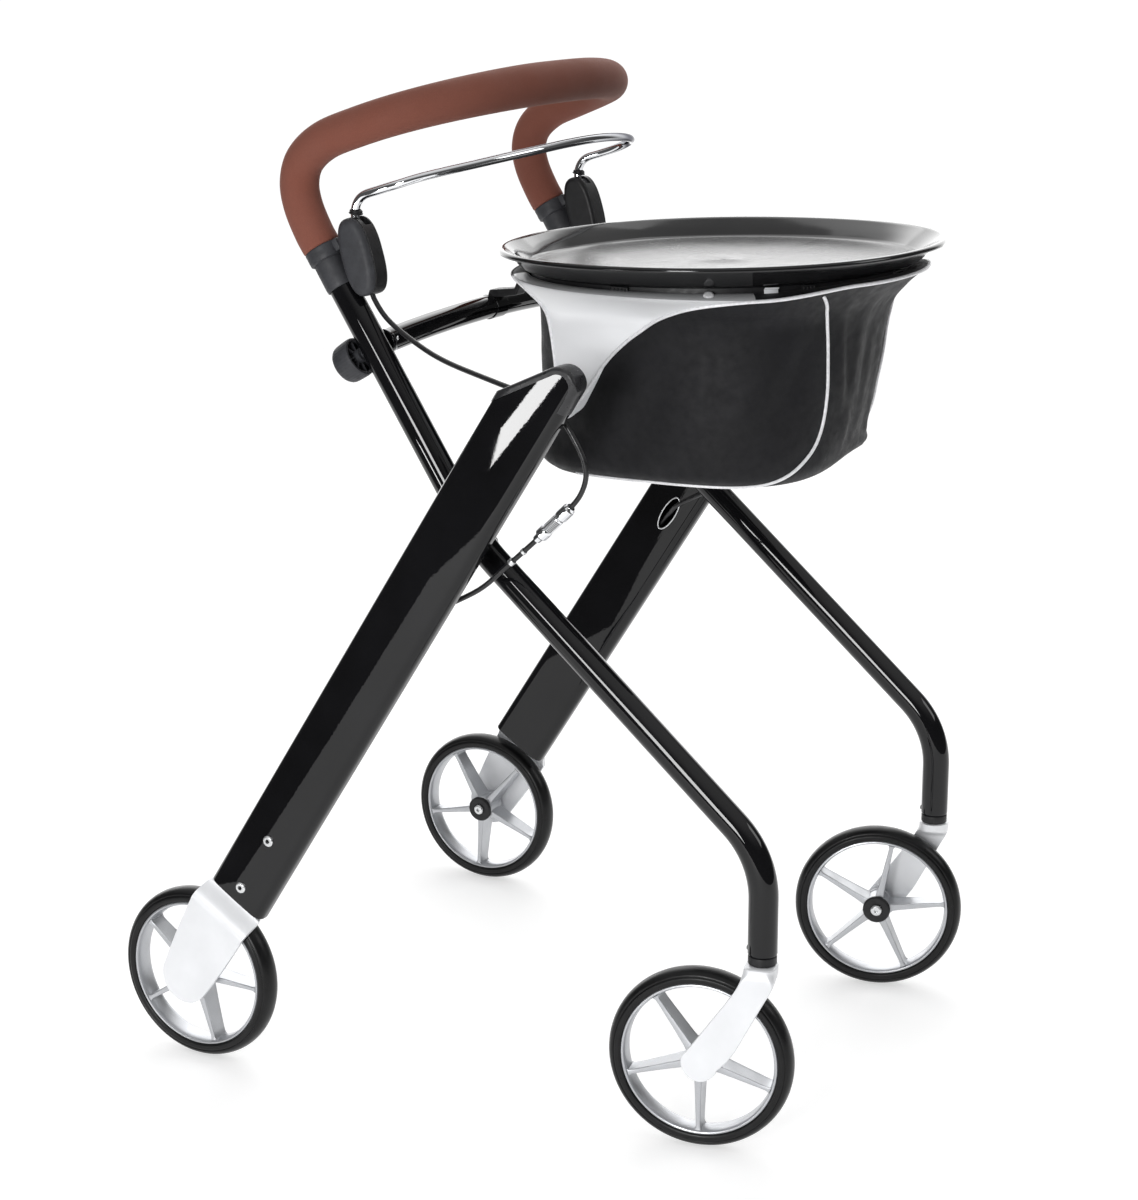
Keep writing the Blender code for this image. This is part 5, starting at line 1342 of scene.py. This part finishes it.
# line between the silver collar and the black cloth: (angle, height), seen from the right side
S_LINE = [(90, 0.7000), (120, 0.6800), (141, 0.6680), (146, 0.6715), (155.2, 0.6860), (162.2, 0.7095), (165.4, 0.7238), (169.1, 0.7372), (174.7, 0.7528), (180.2, 0.7640), (185.7, 0.7756), (194.3, 0.7878), (199.8, 0.7930), (206, 0.7966), (213, 0.7990), (225, 0.7996), (270, 0.7996)]
REAR_LINE = [(0.8000, 129.0), (0.7860, 135.8), (0.7755, 139.4), (0.7576, 143.2), (0.7202, 146.2), (0.6869, 147.6), (0.6710, 147.8)]
FRONT_SEAM = [(232.8, 0.7945), (237.5, 0.7800), (239.8, 0.7640), (241.2, 0.7169), (240.4, 0.6791), (236.8, 0.6517), (230.2, 0.6320), (222.5, 0.6215), (212.8, 0.6182), (198, 0.6180), (180, 0.6180), (165, 0.6182), (150, 0.6190)]


def along(line_, x):
    if x <= line_[0][0]:
        return line_[0][1]
    for (x0, y0), (x1, y1) in zip(line_, line_[1:]):
        if x <= x1:
            return lerp(y0, y1, (x - x0) / (x1 - x0))
    return line_[-1][1]


def fold_angle(deg):
    """Angle on the right-hand half, 90 at the back to 270 at the front."""
    deg %= 360
    return deg if 90 <= deg <= 270 else (180 - deg) % 360


def s_height(deg):
    f = fold_angle(deg)
    return sum(along(S_LINE, f + d) for d in (-1.5, 0, 1.5)) / 3


def rear_angle(z):
    line_ = sorted(REAR_LINE)
    return along(line_, z)


# soft creases of the cloth: (angle, height, angle, height, width, depth), in degrees and metres
FOLDS = [(246, 0.790, 250, 0.700, 3.2, 0.0030), (250, 0.770, 262, 0.660, 4.2, -0.0022), (262, 0.790, 256, 0.640, 4.0, 0.0020), (272, 0.780, 268, 0.680, 4.0, -0.0018), (236, 0.780, 222, 0.690, 4.5, -0.0022),
         (232, 0.770, 205, 0.660, 5.0, 0.0020), (214, 0.780, 196, 0.700, 5.5, -0.0022), (205, 0.740, 188, 0.640, 5.5, 0.0018), (224, 0.700, 214, 0.630, 4.5, -0.0016), (190, 0.730, 176, 0.650, 5.0, -0.0016),
         (284, 0.790, 292, 0.650, 4.5, 0.0020), (300, 0.780, 296, 0.690, 4.5, -0.0016), (318, 0.770, 330, 0.660, 5.5, 0.0020), (340, 0.740, 352, 0.650, 5.5, -0.0018), (100, 0.770, 96, 0.650, 5.0, 0.0018),
         (80, 0.770, 86, 0.660, 5.0, -0.0018), (118, 0.760, 112, 0.640, 4.5, -0.0016), (62, 0.760, 68, 0.640, 4.5, 0.0016), (170, 0.700, 164, 0.640, 4.0, 0.0014), (258, 0.680, 240, 0.625, 4.5, 0.0016)]


def crease(deg, z):
    v = 0.0
    for a0_, z0, a1_, z1, w, dp in FOLDS:
        ux, uy = (a1_ - a0_) * 0.0029, z1 - z0
        L2 = ux * ux + uy * uy
        dx = ((deg - a0_ + 180) % 360 - 180) * 0.0029
        dy = z - z0
        t = (dx * ux + dy * uy) / L2
        tc = max(0.0, min(1.0, t))
        ex_, ey = dx - ux * tc, dy - uy * tc
        d2 = (ex_ * ex_ + ey * ey) / (w * 0.0029) ** 2
        v += dp * math.exp(-d2) * (0.35 + 0.65 * math.sin(PI * (0.15 + 0.7 * tc)))
    q = Vector((math.cos(math.radians(deg)) * 2.6, math.sin(math.radians(deg)) * 2.6, z * 14))
    v += 0.0016 * noise.noise(q) + 0.0007 * noise.noise(q * 2.7 + Vector((3.1, 1.7, 0.4)))
    return v


# how far the front panel on the left is drawn in: (minus height, distance)
PULL = [(-0.80, 0.0), (-0.75, 0.0087), (-0.70, 0.0146), (-0.65, 0.0192), (-0.630, 0.0150), (-0.6166, 0.0035)]


def brim_lift(deg):
    """The brim stands a little higher across the front."""
    return 0.0080 * ease((fold_angle(deg) - 214) / 30)


def bag_point(deg, p, out=0.0, stiff=False):
    """A point of the bag's outer skin."""
    ax, ay, z, e = bag_ring(p)
    ph = math.radians(deg)
    r = oval_r(ph, ax, ay, e)
    hold = ease((0.7990 - z) / 0.030) * ease((z - 0.6150) / 0.020)
    amt = (0.06 if stiff else 1.0) * hold
    away = ((deg - 308 + 180) % 360 - 180) / 36.0
    front_pull = math.exp(-away * away)
    r -= along(PULL, -z) * front_pull
    away = (fold_angle(deg) - 132) / 24.0
    r += 0.0140 * math.exp(-away * away) * ease((0.668 - z) / 0.045)
    r += crease(deg, z) * amt + out
    away = ((deg - 282 + 180) % 360 - 180) / 38.0
    z_ = z + 0.0135 * ease((0.672 - z) / 0.053) * math.exp(-away * away) + brim_lift(deg) * ease((z - 0.762) / 0.034)
    if p > 6.5:
        z_ -= 0.0012 * ease((p - 6.5) / 1.5) * (0.5 + 0.5 * math.sin(math.radians(3 * deg + 40)))
    return Vector((r * math.cos(ph), BY + r * math.sin(ph), z_))


NC = 288
NA, NB = 26, 44
cols = [360.0 * k / NC for k in range(NC)]


def warped(deg, z):
    """Columns near the collar's rear edge lean to follow it."""
    f = fold_angle(deg)
    near = 142.5
    w = max(0.0, 1 - abs(f - near) / 34.0)
    shift = (rear_angle(z) - near) * ease(w)
    return deg + (shift if 90 <= deg % 360 <= 270 else -shift)


SKIRT = [(0.1938, 0.1802, 0.0034), (0.1960, 0.1826, 0.0036), (0.2000, 0.1870, 0.0030), (0.2040, 0.1915, 0.0020), (0.2068, 0.1946, 0.0008)]
verts, rows, kinds, uvs = [], [], [], []


def wall_silver(deg):
    f = fold_angle(deg)
    return f > 142.5


def add_row(kind, maker):
    row = []
    for k, deg in enumerate(cols):
        v, uv_ = maker(k, deg)
        row.append(len(verts))
        verts.append(v)
        uvs.append(uv_)
    rows.append(row)
    kinds.append(kind)


def skirt_row(ax, ay, lift):
    def make(k, deg):
        ph = math.radians(deg)
        calm = 1.0 - math.exp(-(((deg - 90 + 180) % 360 - 180) / 16.0) ** 2)
        r = oval_r(ph, ax, ay, E_)
        z = 0.8000 + lift * calm + brim_lift(deg) * (0.35 + 0.65 * (ax - 0.1938) / 0.0130) + TILT * 0.5 * r * math.sin(ph) * calm * (1 - (ax - 0.1938) / 0.0142)
        return Vector((r * math.cos(ph), BY + r * math.sin(ph), z)), (deg * 0.0029, 1.0 + ax)
    return make


for ax, ay, lift in SKIRT:
    add_row("skirt", skirt_row(ax, ay, lift))
for i in range(NA + 1):
    def make(k, deg, i=i):
        ps = max(0.18, place_of(s_height(deg)))
        p = ps * i / NA
        z = bag_ring(p)[2]
        d2 = warped(deg, z)
        st = wall_silver(deg)
        return bag_point(d2, p, stiff=st), (d2 * 0.0029 * K, z * K)
    add_row("upper", make)
for i in range(1, NB + 1):
    def make(k, deg, i=i):
        ps = max(0.18, place_of(s_height(deg)))
        p = lerp(ps, 8.0, (i / NB))
        z = bag_ring(p)[2]
        d2 = warped(deg, z)
        amt = 1.0 if not wall_silver(deg) else None
        return bag_point(d2, p), (d2 * 0.0029 * K, z * K)
    add_row("lower", make)
for i in range(1, 12):
    def make(k, deg, i=i):
        f = 1 - i / 12
        base = bag_point(warped(deg, 0.617), 8.0)
        c = Vector((0, BY, base.z))
        v = c + (base - c) * f
        v.z = 0.6158 - 0.0016 * math.sin(PI * f) - (0.6158 - base.z) * f ** 3 + 0.0008 * noise.noise(Vector((v.x * 30, v.y * 30, 0.3)))
        return v, (v.x * K, v.y * K + 2.0)
    add_row("floor", make)
outer_rows = len(rows)
faces, fm = [], []
for i in range(outer_rows - 1):
    for k in range(NC):
        l = (k + 1) % NC
        faces.append((rows[i][k], rows[i][l], rows[i + 1][l], rows[i + 1][k]))
        midc = cols[k] + 180.0 / NC
        if kinds[i + 1] == "skirt" or (kinds[i] == "skirt"):
            fm.append(1 if 128 < fold_angle(midc) < 214 else 0)
        elif kinds[i + 1] == "upper" and wall_silver(midc):
            fm.append(1)
        else:
            fm.append(0)
ci = len(verts)
verts.append(Vector((0, BY, 0.6158)))
uvs.append((0.0, BY * K + 2.0))
for k in range(NC):
    faces.append((rows[-1][k], rows[-1][(k + 1) % NC], ci))
    fm.append(0)
# inner skin
bag = raw("bag", verts, faces)
for p, m in zip(bag.data.polygons, fm):
    p.material_index = m
uvl = bag.data.uv_layers.new(name="UVMap")
for p in bag.data.polygons:
    us = [uvs[v] for v in p.vertices]
    wrap = max(u[0] for u in us) - min(u[0] for u in us) > 0.5
    for li, u in zip(p.loop_indices, us):
        uvl.data[li].uv = (u[0] + (360 * 0.0029 * K if wrap and u[0] < 0.4 else 0.0), u[1])
bm = bmesh.new()
bm.from_mesh(bag.data)
bmesh.ops.recalc_face_normals(bm, faces=bm.faces)
down = [f for f in bm.faces if f.calc_center_median().z < 0.6165]
if sum(f.normal.z for f in down) > 0:
    bmesh.ops.reverse_faces(bm, faces=bm.faces)
bm.to_mesh(bag.data)
bm.free()
so = bag.modifiers.new("cloth", "SOLIDIFY")
so.thickness = 0.0014
so.offset = -1.0
so.use_rim = True
so.material_offset = 0
applied(bag)
dress(bag, "bag_cloth", "bag", ["bag"], "fabric", [nylon, coated], angle=60)


def on_bag(pairs, out):
    return [bag_point(a_, place_of(z_), out) for a_, z_ in pairs]


def refine(pairs, n=6):
    return [(p.x, p.y) for p in spline([Vector((a_, z_ * 400, 0)) for a_, z_ in pairs], n)]


def bag_cord(name, pairs, r, out):
    fine = [(a_, z_ / 400) for a_, z_ in refine(pairs)]
    pts = on_bag(fine, out)
    pts = with_ends(pts, r)
    return sweep(name, pts, r, 14, rounded_ends(pts, r, r * 0.98))


S_PIPE = [(fold, s_height(fold)) for fold in (147.5, 149, 152, 156, 160, 163, 166, 169, 172, 176, 180, 184, 188, 192, 196, 200, 204, 208, 213, 220, 230, 240, 250, 260, 270)]
S_PIPE += [(540 - a_, z_) for a_, z_ in S_PIPE[-2::-1]]
dress(bag_cord("p", S_PIPE, 0.0017, 0.0004), "collar_piping", "bag", [], "fabric", [piping], angle=60)
fs = bag_cord("p", FRONT_SEAM, 0.0017, 0.0004)
dress(fs, "seam_piping_right", "bag", [], "fabric", [piping], angle=60)
fs = bag_cord("p", [(545 - a_, z_) for a_, z_ in FRONT_SEAM], 0.0017, 0.0004)
dress(fs, "seam_piping_left", "bag", [], "fabric", [piping], angle=60)
rear = [(a_, z_) for z_, a_ in REAR_LINE]
pair(bag_cord("p", rear, 0.0013, 0.0003), "collar_edge", "bag", [], "fabric", [piping], angle=60)
back_rim = [(a_, 0.7996) for a_ in (129, 120, 110, 100, 90, 80, 70, 60, 51)]
dress(bag_cord("p", back_rim, 0.0012, 0.0002), "rear_binding", "bag", [], "fabric", [nylon], angle=60)

# press stud on the collar
ph = math.radians(202)
r = oval_r(ph, 0.2005, 0.1875, E_)
p = Vector((r * math.cos(ph), BY + r * math.sin(ph), 0.8034))
nd = Vector((math.cos(ph) * 0.55, math.sin(ph) * 0.55, 0.83))
stud = turned("stud", fillet([(0, -0.0005), (0.0048, -0.0005), (0.0048, 0.0010), (0.0030, 0.0020), (0, 0.0022)], 0.0007, 4), p, p + nd, 40)
pair(stud, "press_stud", "bag", [], "steel", [piping])

# ------------------------------------------------------------------ floor and light
SWEEP, OVERHEAD, GLOW = 2.25, 0.66, 0.54
# white paper under the object; a wedge on the left, outside the view, is left dark
ring_ = [(-0.62, 0.47), (-1.75, 0.89), (-2.3, 0.3), (-2.5, -0.6), (-2.2, -1.7), (-1.3, -2.4), (0.0, -2.6), (1.6, -2.2), (2.9, -1.2), (3.4, 0.2), (3.3, 1.8), (2.6, 2.9), (1.2, 3.4), (0.1, 3.2), (-0.45, 2.4), (-0.60, 1.2)]
floor = raw("floor", [(x, y, -0.0004) for x, y in ring_], [tuple(range(len(ring_)))])
if floor.data.polygons[0].normal.z < 0:
    floor.data.flip_normals()
paper = Look("white_paper", (0.62, 0.62, 0.62), 0.80)
paper.vary(paper.noise(6, 4), 0.985, 1.01)
paper.bump(paper.noise(300, 3), 0.05, 0.0003)
paper.put("Emission Color", (1.0, 1.0, 1.0, 1.0))
paper.put("Emission Strength", GLOW)
floor.data.materials.append(paper.m)

world = bpy.data.worlds.new("studio")
bpy.context.scene.world = world
world.use_nodes = True
wt = world.node_tree
wt.nodes.clear()


def wnode(kind, **kw):
    n = wt.nodes.new(kind)
    for k_, v_ in kw.items():
        setattr(n, k_, v_)
    return n


def wramp(src, a0_, a1_, b0_, b1_):
    n = wnode("ShaderNodeMapRange", interpolation_type="SMOOTHSTEP")
    for k_, v_ in (("From Min", a0_), ("From Max", a1_), ("To Min", b0_), ("To Max", b1_)):
        n.inputs[k_].default_value = v_
    wt.links.new(src, n.inputs["Value"])
    return n.outputs["Result"]


def wadd(a_, b_):
    n = wnode("ShaderNodeMath", operation="ADD")
    wt.links.new(a_, n.inputs[0])
    wt.links.new(b_, n.inputs[1])
    return n.outputs[0]


out = wnode("ShaderNodeOutputWorld")
seen = wnode("ShaderNodeBackground")
seen.inputs["Color"].default_value = (1, 1, 1, 1)
seen.inputs["Strength"].default_value = 1.05
lit = wnode("ShaderNodeBackground")
lit.inputs["Color"].default_value = (1, 1, 1, 1)
tc = wnode("ShaderNodeTexCoord")
dot = wnode("ShaderNodeVectorMath", operation="DOT_PRODUCT")
dot.inputs[1].default_value = (math.cos(YAW), math.sin(YAW), 0.10)
wt.links.new(tc.outputs["Generated"], dot.inputs[0])
sep_ = wnode("ShaderNodeSeparateXYZ")
wt.links.new(tc.outputs["Generated"], sep_.inputs[0])
total = wadd(wramp(dot.outputs["Value"], 0.70, 0.90, 0.05, SWEEP), wramp(sep_.outputs["Z"], 0.30, 0.85, 0.03, OVERHEAD))
wt.links.new(total, lit.inputs["Strength"])
lp = wnode("ShaderNodeLightPath")
mixs = wnode("ShaderNodeMixShader")
wt.links.new(lp.outputs["Is Camera Ray"], mixs.inputs[0])
wt.links.new(lit.outputs[0], mixs.inputs[1])
wt.links.new(seen.outputs[0], mixs.inputs[2])
wt.links.new(mixs.outputs[0], out.inputs[0])


def softbox(name, loc, aim, sx, sy, radiance, shape="RECTANGLE", along_=(0, 0, 1)):
    """A soft light at loc facing aim; its second side lies along the given direction."""
    ld = bpy.data.lights.new(name, "AREA")
    ld.shape = shape
    ld.size, ld.size_y = sx, sy
    ld.energy = radiance * PI * sx * sy
    o = bpy.data.objects.new(name, ld)
    bpy.context.scene.collection.objects.link(o)
    z = (Vector(loc) - Vector(aim)).normalized()
    y = (Vector(along_) - z * z.dot(Vector(along_))).normalized()
    x = y.cross(z)
    m = Matrix((x, y, z)).transposed().to_4x4()
    m.translation = Vector(loc)
    o.matrix_world = m
    return o


softbox("top_light", (1.45, 0.75, 2.35), (0.0, 0.0, 0.4), 1.9, 1.9, 1.2)
softbox("key_light", (-2.75, -0.32, 0.86), (0, 0, 0.5), 0.62, 0.95, 19.0)
softbox("left_light", (-2.30, 1.00, 0.182), (-0.25, -0.02, 0.55), 0.115, 0.29, 26.0, "RECTANGLE", (0, -0.89, 0.455))
softbox("right_light", (1.05, -2.25, 1.70), (0, 0, 0.7), 0.9, 0.9, 3.0)

view = bpy.context.scene.view_settings
view.view_transform = "Standard"
view.look = "None"
view.exposure = 0.0
view.gamma = 1.0
